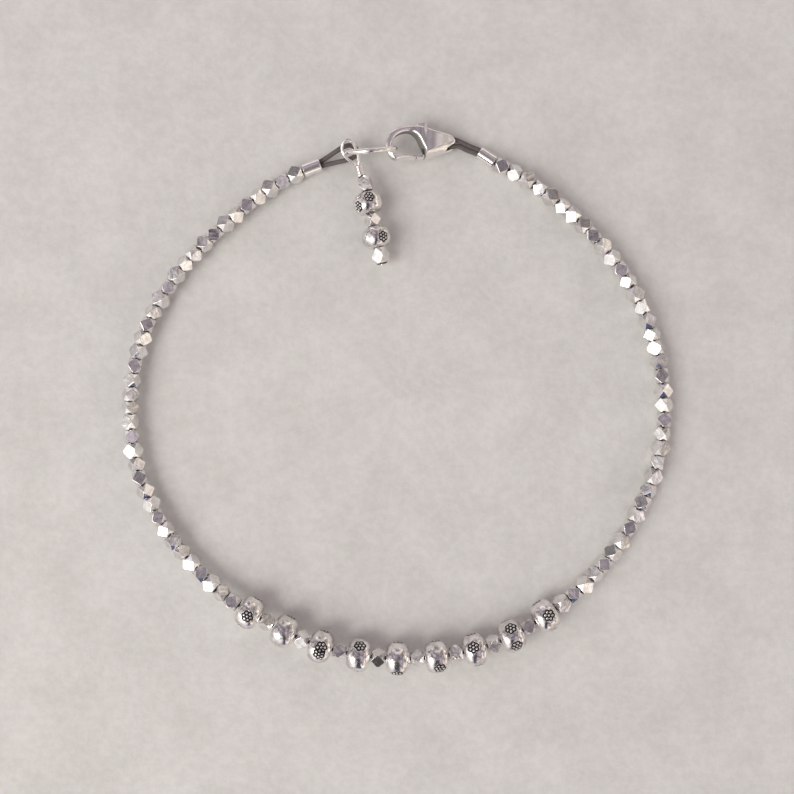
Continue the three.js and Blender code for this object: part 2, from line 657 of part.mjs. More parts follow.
/** The head pin: its flat head, straight shank, wrapped neck and the loop on the ring. */
function dangleWire() {
  const { count, length, radius, groove, sides } = WRAPS;
  const wrap = length / count;
  const ribs = Array.from({ length: count }, (_, i) => [
    [i * wrap, groove], ...WRAP_CREST.map((share) => [(i + share) * wrap, radius]),
  ]).flat();
  const sleeve = turned([[0, 0], ...ribs, [length, groove], [length, 0]], sides);
  const shank = rod(PIN_WIRE, DANGLE_LENGTH, PIN_WIRE_SIDES).translate(DANGLE_LENGTH / 2, 0, 0);
  const head = rod(DANGLE_HEAD.radius, DANGLE_HEAD.thickness, sides)
    .translate(DANGLE_LENGTH, 0, 0);
  const straight = [sleeve, shank, head].map((geometry) =>
    solidOf(geometry.applyMatrix4(onDangle(0))));

  const points = EYELET.map(([x, y, z]) => dangleStart.clone().add(vec(x, y, z)));
  const loop = new THREE.CatmullRomCurve3(points, false, "centripetal");
  const loopSolid = solidOf(tube(loop, PIN_WIRE, PIN_WIRE_SIDES, EYELET_STEPS));
  return straight.reduce((sum, body) => sum.add(body), loopSolid);
}

/** The dangle's wire and the five beads on it. */
function addDangle() {
  addPiece("dangle_wire", geometryOf(dangleWire()), MATERIALS.finding);
  for (const { name, at, length, width, roll, aside, bore } of DANGLE_NUGGETS) {
    const nugget = drilledNugget(length, width, roll, aside, bore);
    addPiece(`dangle_nugget_${name}`, geometryOf(nugget), MATERIALS.nugget)
      .applyMatrix4(onDangle(at));
  }
  for (const { name, at, stamps } of DANGLE_STAMPED) {
    const placed = stamps.map(({ roll, shift }) => ({ roll: -roll, shift }));
    const mesh = addPiece(`dangle_stamped_${name}`, geometryOf(stampedBead(placed)),
      MATERIALS.stamped);
    mesh.applyMatrix4(onDangle(at));
    mesh.scale.setScalar(DANGLE_BEAD_SCALE);
  }
}

// ---------------------------------------------------------------- the whole bracelet

addSideStrings();
addFront();
addLeftEnd();
addRing();
addClasp(addRightEnd());
addDangle();

bracelet.updateMatrixWorld(true);
const box = new THREE.Box3().setFromObject(bracelet, true);
const middle = box.getCenter(vec(0, 0, 0));
bracelet.position.set(-middle.x, -middle.y, -box.min.z);
bracelet.updateMatrixWorld(true);

export default bracelet;
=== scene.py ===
"""A beaded bracelet dressed for display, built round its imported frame.

Faceted silver nuggets and stamped barrel beads lie in a closed loop. Crimps and cord loops join
the ends to a jump ring and a lobster clasp, and a wire dangle hangs on the ring. Lengths are in
millimetres from the loop's centre until a piece is placed, which turns them into metres.
"""

import logging
import math
import random
from collections.abc import Callable, Sequence
from dataclasses import dataclass, field
from enum import Enum
from itertools import accumulate, pairwise

import bmesh
import bpy
from mathutils import Matrix, Vector, noise


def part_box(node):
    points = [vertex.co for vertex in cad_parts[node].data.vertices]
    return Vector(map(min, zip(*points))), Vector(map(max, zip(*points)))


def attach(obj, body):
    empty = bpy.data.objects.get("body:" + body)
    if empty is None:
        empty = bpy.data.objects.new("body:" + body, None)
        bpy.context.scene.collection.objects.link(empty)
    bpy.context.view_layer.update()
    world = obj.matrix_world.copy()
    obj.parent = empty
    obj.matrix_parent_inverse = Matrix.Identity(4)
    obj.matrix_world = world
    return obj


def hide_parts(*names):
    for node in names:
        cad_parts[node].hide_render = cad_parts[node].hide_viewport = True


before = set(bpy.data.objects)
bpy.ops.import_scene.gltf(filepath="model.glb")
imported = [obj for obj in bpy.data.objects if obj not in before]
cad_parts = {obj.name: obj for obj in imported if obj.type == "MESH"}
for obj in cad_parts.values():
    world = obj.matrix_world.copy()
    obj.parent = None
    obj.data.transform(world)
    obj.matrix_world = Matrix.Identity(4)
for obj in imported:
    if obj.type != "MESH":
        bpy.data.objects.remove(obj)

LOG = logging.getLogger("bracelet")
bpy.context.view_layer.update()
MM = 0.001
UP = Vector((0, 0, 1))
WELD = 1e-4

Form = bmesh.types.BMesh
Socket = bpy.types.NodeSocket
Colour = tuple[float, float, float, float]
Pair = tuple[float, float]
Outline = Sequence[Pair]

# How far apart the faces of two cutting shapes are kept, so that none lie in one plane.
APART = 0.02

# The most of the way to the next sample, so that there always is a next one.
NEARLY_WHOLE = 0.9999

# A nugget's face whose normal has at least this share along the string is one of its ends.
END_FACING = 0.9


class Slot(Enum):
    """The record's material slots."""

    NUGGET = "nugget_silver"
    STAMPED = "stamped_silver"
    FINDING = "finding_silver"
    CORD = "waxed_cord"


class Body(Enum):
    """The frame's moving bodies."""

    BRACELET = "bracelet"
    LEVER = "clasp_lever"


# ---------------- paths and frames


def ease(low: float, high: float, value: float) -> float:
    """Eases a value from 0 at one limit to 1 at the other.

    Args:
        low: Where the result starts to rise from 0.
        high: Where the result reaches 1.
        value: The value to ease.

    Returns:
        A share between 0 and 1.
    """
    share = min(max((value - low) / (high - low), 0.0), 1.0)
    return share * share * (3 - 2 * share)


def along(position: Vector, direction: Vector) -> Matrix:
    """Places an upright piece whose own x lies along a direction.

    Args:
        position: Where the piece's origin goes.
        direction: Where its x points.

    Returns:
        The placement.
    """
    x = direction.normalized()
    y = UP.cross(x).normalized()
    turn = Matrix((x, y, x.cross(y))).transposed()
    return Matrix.Translation(position) @ turn.to_4x4()


@dataclass
class SmoothPath:
    """A smooth curve through points, read by the distance along it.

    Attributes:
        points: What the curve goes through.
        closed: Whether its end joins its start.
        fineness: Samples between two points.
        samples: The curve's points, close together.
        reached: The distance along the curve at each of them.
    """

    points: Sequence[Vector]
    closed: bool = False
    fineness: int = 60
    samples: list[Vector] = field(init=False)
    reached: list[float] = field(init=False)

    def __post_init__(self) -> None:
        """Samples the curve and adds up its length."""
        spans = len(self.points) if self.closed else len(self.points) - 1
        steps = [i / self.fineness for i in range(spans * self.fineness + 1)]
        self.samples = [self._at_knot(step) for step in steps]
        lengths = [(b - a).length for a, b in pairwise(self.samples)]
        self.reached = [0.0, *accumulate(lengths)]

    @property
    def length(self) -> float:
        """The curve's whole length."""
        return self.reached[-1]

    def _corner(self, index: int) -> Vector:
        """A given point, with one made up past each end of an open curve.

        Args:
            index: Its number, which may lie one before the first or after the last.

        Returns:
            The point.
        """
        count = len(self.points)
        if self.closed:
            return self.points[index % count]
        if index < 0:
            return 2 * self.points[0] - self.points[1]
        if index >= count:
            return 2 * self.points[-1] - self.points[-2]
        return self.points[index]

    def _at_knot(self, step: float) -> Vector:
        """The curve's point at a share of the way between its given points.

        Args:
            step: The number of the point before, with the share of the span after it.

        Returns:
            The point on a centripetal Catmull-Rom curve.
        """
        spans = len(self.points) if self.closed else len(self.points) - 1
        before = min(int(step), spans - 1)
        share = step - before
        a, b, c, d = (self._corner(before + i) for i in (-1, 0, 1, 2))
        first, middle, last = ((q - p).length ** 0.5 for p, q in ((a, b), (b, c), (c, d)))
        out = (b - a) / first - (c - a) / (first + middle) + (c - b) / middle
        into = (c - b) / middle - (d - b) / (middle + last) + (d - c) / last
        out, into = out * middle, into * middle
        cubic = 2 * b - 2 * c + out + into
        square = 3 * c - 3 * b - 2 * out - into
        return ((cubic * share + square) * share + out) * share + b

    def at(self, distance: float) -> Vector:
        """Finds a point by the distance along the curve.

        Args:
            distance: How far along the curve.

        Returns:
            The point.
        """
        place = self._place(distance)
        before = int(place)
        return self.samples[before].lerp(self.samples[before + 1], place - before)

    def direction(self, distance: float) -> Vector:
        """The way that the curve runs.

        Args:
            distance: How far along the curve.

        Returns:
            The way, one long.
        """
        reach = self.length / (4 * len(self.samples))
        low = max(distance - reach, 0.0)
        high = min(distance + reach, self.length)
        return (self.at(high) - self.at(low)).normalized()

    def _place(self, distance: float) -> float:
        """Finds a distance among the samples.

        Args:
            distance: How far along the curve.

        Returns:
            The number of the sample before it, with the share of the way to the next.
        """
        low, high = 0, len(self.reached) - 1
        while high - low > 1:
            middle = (low + high) // 2
            if self.reached[middle] <= distance:
                low = middle
            else:
                high = middle
        span = self.reached[high] - self.reached[low]
        return low + min(max((distance - self.reached[low]) / span, 0.0), NEARLY_WHOLE)

    def frames(self, distances: Sequence[float]) -> list[Matrix]:
        """Section frames that travel along the curve, their z along it, without needless turns.

        Args:
            distances: Where each frame stands.

        Returns:
            One frame for each distance.
        """
        ahead = self.direction(distances[0])
        turn = UP.rotation_difference(ahead)
        made = []
        for distance in distances:
            now = self.direction(distance)
            turn = ahead.rotation_difference(now) @ turn
            ahead = now
            made.append(Matrix.Translation(self.at(distance)) @ turn.to_matrix().to_4x4())
        return made

    def level_frames(self, distances: Sequence[float]) -> list[Matrix]:
        """Section frames whose z runs along the curve and whose x stays level.

        Args:
            distances: Where each frame stands.

        Returns:
            One frame for each distance.
        """
        made = []
        for distance in distances:
            ahead = self.direction(distance)
            across = UP.cross(ahead).normalized()
            turn = Matrix((across, ahead.cross(across), ahead)).transposed().to_4x4()
            made.append(Matrix.Translation(self.at(distance)) @ turn)
        return made


def steps_between(start: float, end: float, step: float) -> list[float]:
    """Evenly spaced distances.

    Args:
        start: The first.
        end: The last.
        step: About how far apart they are.

    Returns:
        The distances, with both ends.
    """
    count = max(2, math.ceil(abs(end - start) / step))
    return [start + (end - start) * i / count for i in range(count + 1)]


# ---------------- mesh helpers


def mesh_of(name: str, form: Form) -> bpy.types.Mesh:
    """Turns a shape into a mesh.

    Args:
        name: The mesh's name.
        form: The shape, which is freed.

    Returns:
        The mesh.
    """
    mesh = bpy.data.meshes.new(name)
    form.to_mesh(mesh)
    form.free()
    return mesh


def linked(name: str, data: bpy.types.ID) -> bpy.types.Object:
    """Puts a mesh, a lamp or a camera in the scene.

    Args:
        name: The object's name.
        data: What it shows.

    Returns:
        The object.
    """
    made = bpy.data.objects.new(name, data)
    bpy.context.scene.collection.objects.link(made)
    return made


def moved(form: Form, matrix: Matrix) -> Form:
    """Moves a shape and gives it back."""
    bmesh.ops.transform(form, matrix=matrix, verts=form.verts[:])
    return form


def face_out(form: Form) -> Form:
    """Turns a shape's faces outwards and gives it back."""
    bmesh.ops.recalc_face_normals(form, faces=form.faces[:])
    return form


def round_edges(form: Form, edges: Sequence[bmesh.types.BMEdge], offset: float, segments: int) -> None:
    """Rounds some of a shape's edges.

    Args:
        form: The shape.
        edges: Its edges to round.
        offset: How far they are rounded.
        segments: Faces across each rounding.
    """
    bmesh.ops.bevel(
        form, geom=edges, offset=offset, offset_type="OFFSET", affect="EDGES",
        segments=segments, profile=0.5, material=-1, clamp_overlap=True,
    )


def verts_in(parts: Sequence[object]) -> list[bmesh.types.BMVert]:
    """The points among an operator's results."""
    return [part for part in parts if isinstance(part, bmesh.types.BMVert)]


def edges_in(parts: Sequence[object]) -> list[bmesh.types.BMEdge]:
    """The edges among an operator's results."""
    return [part for part in parts if isinstance(part, bmesh.types.BMEdge)]


def joined(forms: Sequence[Form]) -> Form:
    """Gathers several shapes into one.

    Args:
        forms: The shapes, which are freed.

    Returns:
        One shape that holds them all.
    """
    whole = bmesh.new()
    for form in forms:
        carrier = mesh_of("carrier", form)
        whole.from_mesh(carrier)
        bpy.data.meshes.remove(carrier)
    return whole


def welded(form: Form) -> Form:
    """Welds a shape's doubles, turns its faces outwards and gives it back."""
    bmesh.ops.remove_doubles(form, verts=form.verts[:], dist=WELD)
    return face_out(form)


def lathe(profile: Outline, steps: int) -> Form:
    """Turns a closed profile about x.

    Args:
        profile: Rows of place along x and radius.
        steps: Sides of the turned shape.

    Returns:
        The turned shape.
    """
    form = bmesh.new()
    corners = [form.verts.new((x, 0, radius)) for x, radius in profile]
    edges = [form.edges.new(pair) for pair in pairwise([*corners, corners[0]])]
    bmesh.ops.spin(
        form, geom=corners + edges, cent=(0, 0, 0), axis=(1, 0, 0), dvec=(0, 0, 0),
        angle=math.tau, steps=steps, use_merge=True,
    )
    return welded(form)


def sweep(
    frames: Sequence[Matrix],
    radius: float,
    sides: int,
    shape: Callable[[float], float] = lambda angle: 1.0,
) -> Form:
    """Draws a round section along frames and closes both ends.

    Args:
        frames: The section's places, its z along the way.
        radius: The section's radius.
        sides: The section's corners.
        shape: The share of the radius at an angle round the section.

    Returns:
        The closed tube.
    """
    form = bmesh.new()
    bmesh.ops.create_circle(form, cap_ends=True, radius=radius, segments=sides)
    for corner in form.verts:
        corner.co *= shape(math.atan2(corner.co.y, corner.co.x))
    moved(form, frames[0])
    rim = form.edges[:]
    for before, after in pairwise(frames):
        grown = bmesh.ops.extrude_edge_only(form, edges=rim)["geom"]
        ring = verts_in(grown)
        rim = [edge for edge in edges_in(grown) if set(edge.verts) <= set(ring)]
        bmesh.ops.transform(form, matrix=after @ before.inverted(), verts=ring)
    bmesh.ops.edgeloop_fill(form, edges=rim)
    return face_out(form)


def slab(outline: Sequence[Vector], half: float, bevel: float = 0.0) -> Form:
    """Raises a flat outline into a plate centred on z = 0.

    Args:
        outline: The plate's corners.
        half: Half of its thickness.
        bevel: How far its rims are rounded.

    Returns:
        The plate.
    """
    form = bmesh.new()
    face = form.faces.new([form.verts.new((p.x, p.y, -half)) for p in outline])
    grown = bmesh.ops.extrude_face_region(form, geom=[face], use_keep_orig=True)["geom"]
    bmesh.ops.translate(form, vec=(0, 0, 2 * half), verts=verts_in(grown))
    face_out(form)
    if bevel:
        rims = [edge for edge in form.edges if abs(edge.verts[0].co.z - edge.verts[1].co.z) < WELD]
        round_edges(form, rims, bevel, segments=3)
    return form


def slice_off(form: Form, point: Vector, normal: Vector) -> None:
    """Cuts away what lies past a plane and closes the cut with one facet.

    Args:
        form: The shape.
        point: A point of the plane.
        normal: The way out of what is kept.
    """
    cut = bmesh.ops.bisect_plane(
        form, geom=form.verts[:] + form.edges[:] + form.faces[:],
        plane_co=point, plane_no=normal, clear_outer=True,
    )
    edges = edges_in(cut["geom_cut"])
    if edges:
        bmesh.ops.edgeloop_fill(form, edges=edges)


def carved(form: Form, tools: Sequence[tuple[Form, str]]) -> Form:
    """Cuts and joins solid shapes, and closes any pinhole that this leaves.

    Args:
        form: The shape to work on, which is freed.
        tools: Shapes, which are freed, each with DIFFERENCE or UNION.

    Returns:
        The finished shape.
    """
    work = linked("work", mesh_of("work", form))
    helpers = []
    for shape, operation in tools:
        helpers.append(linked("tool", mesh_of("tool", shape)))
        step = work.modifiers.new("step", "BOOLEAN")
        step.operation = operation
        step.solver = "EXACT"
        step.object = helpers[-1]
    bpy.context.view_layer.update()
    evaluated = work.evaluated_get(bpy.context.evaluated_depsgraph_get())
    result = bmesh.new()
    result.from_mesh(evaluated.to_mesh())
    evaluated.to_mesh_clear()
    for passing in (work, *helpers):
        mesh = passing.data
        bpy.data.objects.remove(passing)
        bpy.data.meshes.remove(mesh)
    bmesh.ops.remove_doubles(result, verts=result.verts[:], dist=WELD / 10)
    bmesh.ops.holes_fill(result, edges=[edge for edge in result.edges if edge.is_boundary])
    return result


# ---------------- shader groups


@dataclass
class Wiring:
    """Adds and joins nodes in one node tree.

    Attributes:
        tree: The node tree.
    """

    tree: bpy.types.NodeTree

    def add(self, kind: str, **settings: object) -> bpy.types.Node:
        """Adds a node.

        Args:
            kind: The node's type name.
            **settings: Values for its properties, or for its inputs by number or name.

        Returns:
            The new node.
        """
        node = self.tree.nodes.new(kind)
        inputs = settings.pop("inputs", {})
        for name, value in settings.items():
            setattr(node, name, value)
        self.feed(node, inputs)
        return node

    def feed(self, node: bpy.types.Node, inputs: dict[object, object]) -> None:
        """Gives a node's inputs a socket to follow or a value of their own.

        Args:
            node: The node.
            inputs: What each input gets, by number or name.
        """
        for key, value in inputs.items():
            if isinstance(value, Socket):
                self.tree.links.new(value, node.inputs[key])
            else:
                node.inputs[key].default_value = value

    def mix(self, share: object, first: object, second: object) -> Socket:
        """Mixes two colours by a share and gives the mixed colour's socket."""
        node = self.add("ShaderNodeMix", data_type="RGBA", inputs={0: share, 6: first, 7: second})
        return node.outputs[2]

    def blend(self, share: object, first: float, second: float) -> Socket:
        """Turns a share into a value between two and gives its socket."""
        return self.spread(share, 0.0, 1.0, first, second)

    def spread(
        self, value: object, low: float, high: float, least: float = 0.0, most: float = 1.0,
    ) -> Socket:
        """Stretches the range from low to high to that from least to most and gives its socket."""
        limits = {"From Min": low, "From Max": high, "To Min": least, "To Max": most}
        return self.add("ShaderNodeMapRange", inputs={"Value": value, **limits}).outputs[0]

    def step(self, value: object, low: float, high: float) -> Socket:
        """Eases a value from 0 at one limit to 1 at the other.

        Args:
            value: The value to ease.
            low: Where the result starts to rise from 0.
            high: Where the result reaches 1.

        Returns:
            The eased value's socket.
        """
        node = self.add(
            "ShaderNodeMapRange", interpolation_type="SMOOTHSTEP",
            inputs={"Value": value, "From Min": low, "From Max": high},
        )
        return node.outputs[0]

    def sum(self, first: object, second: object) -> Socket:
        """Adds two values and gives the sum's socket."""
        return self.add("ShaderNodeMath", operation="ADD", inputs={0: first, 1: second}).outputs[0]

    def times(self, first: object, second: object) -> Socket:
        """Multiplies two values and gives the product's socket."""
        node = self.add("ShaderNodeMath", operation="MULTIPLY", inputs={0: first, 1: second})
        return node.outputs[0]

    def noise(
        self, place: object, scale: object, detail: float, rough: float = 0.5,
    ) -> Socket:
        """Adds a noise texture.

        Args:
            place: Where it is read.
            scale: How fine it is.
            detail: How many layers it has.
            rough: How much each finer layer adds.

        Returns:
            Its value's socket.
        """
        node = self.add(
            "ShaderNodeTexNoise",
            inputs={"Vector": place, "Scale": scale, "Detail": detail, "Roughness": rough},
        )
        return node.outputs[0]


def new_group(
    name: str, inputs: dict[str, float], outputs: Sequence[str],
) -> tuple[Wiring, bpy.types.Node, bpy.types.Node]:
    """Starts a shader node group with a place input and value sockets.

    Args:
        name: The group's name.
        inputs: Value inputs with their defaults.
        outputs: Names of the value outputs.

    Returns:
        The group's wiring, its input node and its output node.
    """
    tree = bpy.data.node_groups.new(name, "ShaderNodeTree")
    tree.interface.new_socket("Place", in_out="INPUT", socket_type="NodeSocketVector")
    for label, default in inputs.items():
        socket = tree.interface.new_socket(label, in_out="INPUT", socket_type="NodeSocketFloat")
        socket.default_value = default
    for label in outputs:
        tree.interface.new_socket(label, in_out="OUTPUT", socket_type="NodeSocketFloat")
    wiring = Wiring(tree)
    return wiring, wiring.add("NodeGroupInput"), wiring.add("NodeGroupOutput")


def polish_group() -> bpy.types.NodeTree:
    """Hand polish: soft waves in the surface and fine scratches.

    Returns:
        The group, which gives a height and a scratch mask.
    """
    values = {"Waves": 900.0, "Scratches": 9000.0}
    wiring, given, out = new_group("Hand polish", values, ["Height", "Scratch"])
    scratch_depth = -0.03
    waves = wiring.noise(given.outputs["Place"], given.outputs["Waves"], detail=2.0)
    stretched = wiring.add(
        "ShaderNodeMapping",
        inputs={"Vector": given.outputs["Place"], "Rotation": (0.4, 0.7, 0.9), "Scale": (1.0, 0.2, 0.5)},
    )
    lines = wiring.noise(stretched.outputs[0], given.outputs["Scratches"], detail=3.0, rough=0.7)
    fine = wiring.spread(lines, low=0.52, high=0.72)
    height = wiring.sum(waves, wiring.times(fine, scratch_depth))
    wiring.feed(out, {"Height": height, "Scratch": fine})
    return wiring.tree


def tarnish_group() -> bpy.types.NodeTree:
    """Tarnish: uneven clouds with finer specks in them.

    Returns:
        The group, which gives a mask.
    """
    wiring, given, out = new_group("Tarnish", {"Clouds": 900.0, "Amount": 0.5}, ["Mask"])
    clouds = wiring.noise(given.outputs["Place"], given.outputs["Clouds"], detail=5.0, rough=0.6)
    raised = wiring.spread(clouds, low=0.42, high=0.72)
    wiring.feed(out, {"Mask": wiring.times(raised, given.outputs["Amount"])})
    return wiring.tree


def fibre_group() -> bpy.types.NodeTree:
    """Waxed fibres: short strands and wax clots.

    Returns:
        The group, which gives a height and a mask of what shows dark.
    """
    wiring, given, out = new_group("Waxed fibres", {"Fineness": 7000.0}, ["Height", "Dark"])
    strand_height, clot_height = 0.7, 0.5
    strands = wiring.noise(given.outputs["Place"], given.outputs["Fineness"], detail=4.0, rough=0.7)
    clots = wiring.noise(given.outputs["Place"], scale=1400.0, detail=2.0)
    height = wiring.sum(wiring.times(strands, strand_height), wiring.times(clots, clot_height))
    wiring.feed(out, {"Height": height, "Dark": wiring.blend(height, first=-0.3, second=1.3)})
    return wiring.tree


# ---------------- finishes


def new_material(name: str) -> tuple[bpy.types.Material, Wiring, bpy.types.Node, Socket]:
    """Starts a material.

    Args:
        name: The material's name.

    Returns:
        The material, its wiring, its main shader and the socket of the piece's own coordinates.
    """
    material = bpy.data.materials.new(name)
    material.use_nodes = True
    wiring = Wiring(material.node_tree)
    shader = material.node_tree.nodes["Principled BSDF"]
    place = wiring.add("ShaderNodeTexCoord").outputs["Object"]
    return material, wiring, shader, place


def placed_group(wiring: Wiring, tree: bpy.types.NodeTree, **inputs: object) -> bpy.types.Node:
    """Puts a node group in a material with its own values."""
    return wiring.add("ShaderNodeGroup", node_tree=tree, inputs=inputs)


def dress(
    wiring: Wiring, shader: bpy.types.Node, colour: Socket, roughness: object, height: Socket, depth: float,
) -> None:
    """Gives a material's main shader its colour, its roughness and its relief.

    Args:
        wiring: The material's wiring.
        shader: Its main shader.
        colour: The colour.
        roughness: The roughness, as a socket or a value.
        height: The relief.
        depth: How deep the relief is, in metres.
    """
    bump = wiring.add("ShaderNodeBump", inputs={"Height": height, "Distance": depth})
    wiring.feed(shader, {"Base Color": colour, "Roughness": roughness, "Normal": bump.outputs[0]})


@dataclass(frozen=True)
class SilverFinish:
    """Polished silver with its own tone, wear and tarnish.

    Attributes:
        name: The material's name.
        bright: The clean metal's colour.
        dull: The tarnished metal's colour.
        roughness: Roughness where clean and where tarnished.
        waves: How many soft waves the hand polish leaves in each metre.
        depth: How deep those waves are, in metres.
        tarnish: How much tarnish shows, from 0 to 1.
        recess: The colour that the recess mask mixes in: the stamped flowers' blackened patina, and painted
            shade elsewhere.
        recess_metal: How metallic that is.
        recess_roughness: How much rougher it is.
        scratch_wear: How much a scratch dulls the metal.
        shine: The strength of reflections from what isn't metal.
    """

    name: str
    bright: Colour
    dull: Colour
    roughness: Pair
    waves: float
    depth: float
    tarnish: float
    # Near black: the stamped flowers' patina, and painted shade at nugget ends and bead mouths.
    recess: Colour = (0.012, 0.011, 0.011, 1)
    recess_metal: float = 0.2
    recess_roughness: float = 0.45
    scratch_wear: float = 0.2
    shine: float = 0.2

    def material(self, polish: bpy.types.NodeTree, tarnish: bpy.types.NodeTree) -> bpy.types.Material:
        """Builds the material.

        Args:
            polish: The hand-polish group.
            tarnish: The tarnish group.

        Returns:
            The finished material.
        """
        material, wiring, shader, place = new_material(self.name)
        marks = placed_group(wiring, polish, Place=place, Waves=self.waves)
        clouds = placed_group(wiring, tarnish, Place=place, Amount=self.tarnish)
        mask = clouds.outputs["Mask"]
        colour = wiring.mix(mask, self.bright, self.dull)
        worn = wiring.sum(mask, wiring.times(marks.outputs["Scratch"], self.scratch_wear))
        roughness = wiring.blend(worn, *self.roughness)
        # The recess mask carries the stamped flowers' patina and painted shade at nugget ends, bead mouths,
        # crimps and inside the clasp.
        recess = wiring.add("ShaderNodeAttribute", attribute_name="recess").outputs["Fac"]
        colour = wiring.mix(recess, colour, self.recess)
        roughness = wiring.sum(roughness, wiring.times(recess, self.recess_roughness))
        metal = wiring.blend(recess, 1.0, self.recess_metal)
        wiring.feed(shader, {"Specular IOR Level": self.shine, "Metallic": metal})
        dress(wiring, shader, colour, roughness, marks.outputs["Height"], self.depth)
        return material


@dataclass(frozen=True)
class CordFinish:
    """Waxed cord in two tones.

    Attributes:
        name: The material's name.
        light: The colour of its crests.
        dark: The colour between its fibres.
        roughness: Its roughness.
        depth: How deep the fibres' relief is, in metres.
    """

    name: str = "waxed cord"
    light: Colour = (0.17, 0.145, 0.138, 1)
    dark: Colour = (0.035, 0.029, 0.028, 1)
    roughness: float = 0.62
    depth: float = 0.00004

    def material(self, fibres: bpy.types.NodeTree) -> bpy.types.Material:
        """Builds the material.

        Args:
            fibres: The fibre group.

        Returns:
            The finished material.
        """
        material, wiring, shader, place = new_material(self.name)
        weave = placed_group(wiring, fibres, Place=place)
        colour = wiring.mix(weave.outputs["Dark"], self.dark, self.light)
        dress(wiring, shader, colour, self.roughness, weave.outputs["Height"], self.depth)
        return material


@dataclass
class Finishes:
    """Every material of the bracelet.

    Attributes:
        by_slot: The material of each slot.
    """

    by_slot: dict[Slot, bpy.types.Material] = field(init=False)

    def __post_init__(self) -> None:
        """Builds the groups once and the materials from them."""
        polish, tarnish = polish_group(), tarnish_group()
        nugget = SilverFinish(
            name="nugget silver", bright=(0.90, 0.88, 0.87, 1), dull=(0.40, 0.36, 0.35, 1),
            roughness=(0.1, 0.32), waves=1300, depth=0.00004, tarnish=0.5,
        )
        stamped = SilverFinish(
            name="stamped silver", bright=(0.92, 0.89, 0.88, 1), dull=(0.32, 0.29, 0.29, 1),
            roughness=(0.06, 0.3), waves=1900, depth=0.000035, tarnish=0.75,
        )
        # The finding's brown recess colour is painted shade in the crimps' seams and mouths and inside the
        # clasp.
        finding = SilverFinish(
            name="finding silver", bright=(0.95, 0.92, 0.90, 1), dull=(0.70, 0.64, 0.60, 1),
            roughness=(0.18, 0.3), waves=420, depth=0.00003, tarnish=0.2, recess=(0.04, 0.028, 0.022, 1),
        )
        silver = ((Slot.NUGGET, nugget), (Slot.STAMPED, stamped), (Slot.FINDING, finding))
        self.by_slot = {slot: finish.material(polish, tarnish) for slot, finish in silver}
        self.by_slot[Slot.CORD] = CordFinish().material(fibre_group())


# ---------------- the loop's layout


@dataclass(frozen=True)
class StrandRow:
    """One place on the strand's centre line.

    Attributes:
        bearing: Degrees from +X towards +Y about the loop's centre.
        radius: Distance from the centre.
        height: Height above the surface.
    """

    bearing: float
    radius: float
    height: float

    def point(self) -> Vector:
        """The place as a point."""
        angle = math.radians(self.bearing)
        return Vector((self.radius * math.cos(angle), self.radius * math.sin(angle), self.height))


STRAND_ROWS = tuple(StrandRow(*row) for row in (
    (72, 33.72, 1.05), (67.9, 33.18, 1.05), (60, 33.0, 1.2), (45, 32.83, 1.25), (30, 33.28, 1.25),
    (15, 33.78, 1.25), (0, 34.13, 1.25), (-15, 34.2, 1.25), (-30, 33.8, 1.25), (-42, 33.6, 1.3),
    (-49, 33.3, 1.75), (-55.6, 33.1, 2.05), (-64.4, 33.19, 2.05), (-73, 33.05, 2.05),
    (-81.7, 32.86, 2.05), (-90.2, 32.72, 2.05), (-98.7, 32.65, 2.05), (-107.3, 32.69, 2.05),
    (-116, 32.62, 2.05), (-124.8, 32.82, 2.05), (-131.5, 33.15, 1.75), (-138, 33.48, 1.3),
    (-150, 34.0, 1.25), (-165, 34.52, 1.25), (-180, 34.39, 1.25), (-195, 33.76, 1.25),
    (-210, 32.79, 1.25), (-225, 31.87, 1.25), (-240, 32.05, 1.2), (-247.8, 32.14, 1.05),
    (-251.9, 32.21, 1.05),
))


@dataclass
class Layout:
    """Where everything lies along the strand.

    Attributes:
        bead_pitch: From one stamped bead to the next.
        bead_length: A stamped bead's length along the strand.
        beads: How many stamped beads the front holds.
        middle_share: The middle bead's place, as a share of the strand.
        crimp_length: A crimp's length.
        string_gap: The gap left at each end of a nugget string.
        ring_centre: The jump ring's middle from the loop's centre, in plan.
        ring_radius: The radius of the ring's centre line.
        ring_wire: The radius of its wire.
        ring_lean: Degrees that it leans from upright.
        path: The strand's centre line.
    """

    bead_pitch: float = 5.0
    bead_length: float = 3.0
    beads: int = 9
    middle_share: float = 0.5023
    crimp_length: float = 2.35
    string_gap: float = 0.16
    ring_centre: Pair = (-3.3, 31.78)
    ring_radius: float = 3.05
    ring_wire: float = 0.325
    ring_lean: float = 17.0
    path: SmoothPath = field(init=False)

    def __post_init__(self) -> None:
        """Lays the strand's centre line."""
        self.path = SmoothPath([row.point() for row in STRAND_ROWS], fineness=92)

    @property
    def ring_height(self) -> float:
        """The height of the jump ring's middle as it leans on its edge."""
        return self.ring_radius * math.cos(math.radians(self.ring_lean)) + self.ring_wire

    @property
    def middle(self) -> float:
        """The middle bead's distance along the strand."""
        return self.middle_share * self.path.length

    @property
    def front_half(self) -> float:
        """Half of the front's length."""
        return (self.beads - 1) / 2 * self.bead_pitch + self.bead_length / 2

    @property
    def crimp_span(self) -> float:
        """What a crimp takes up of the strand, with the gap after it."""
        return self.crimp_length + self.string_gap

    def on(self, distance: float) -> Matrix:
        """The placement of a bead on the strand."""
        return along(self.path.at(distance), self.path.direction(distance))

    def to_frame(self) -> Matrix:
        """Takes millimetres from the loop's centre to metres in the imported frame.

        Returns:
            The placement.
        """
        low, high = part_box("jump_ring")
        seat = Vector((*self.ring_centre, self.ring_height)) * MM
        return Matrix.Translation((low + high) / 2 - seat) @ Matrix.Scale(MM, 4)


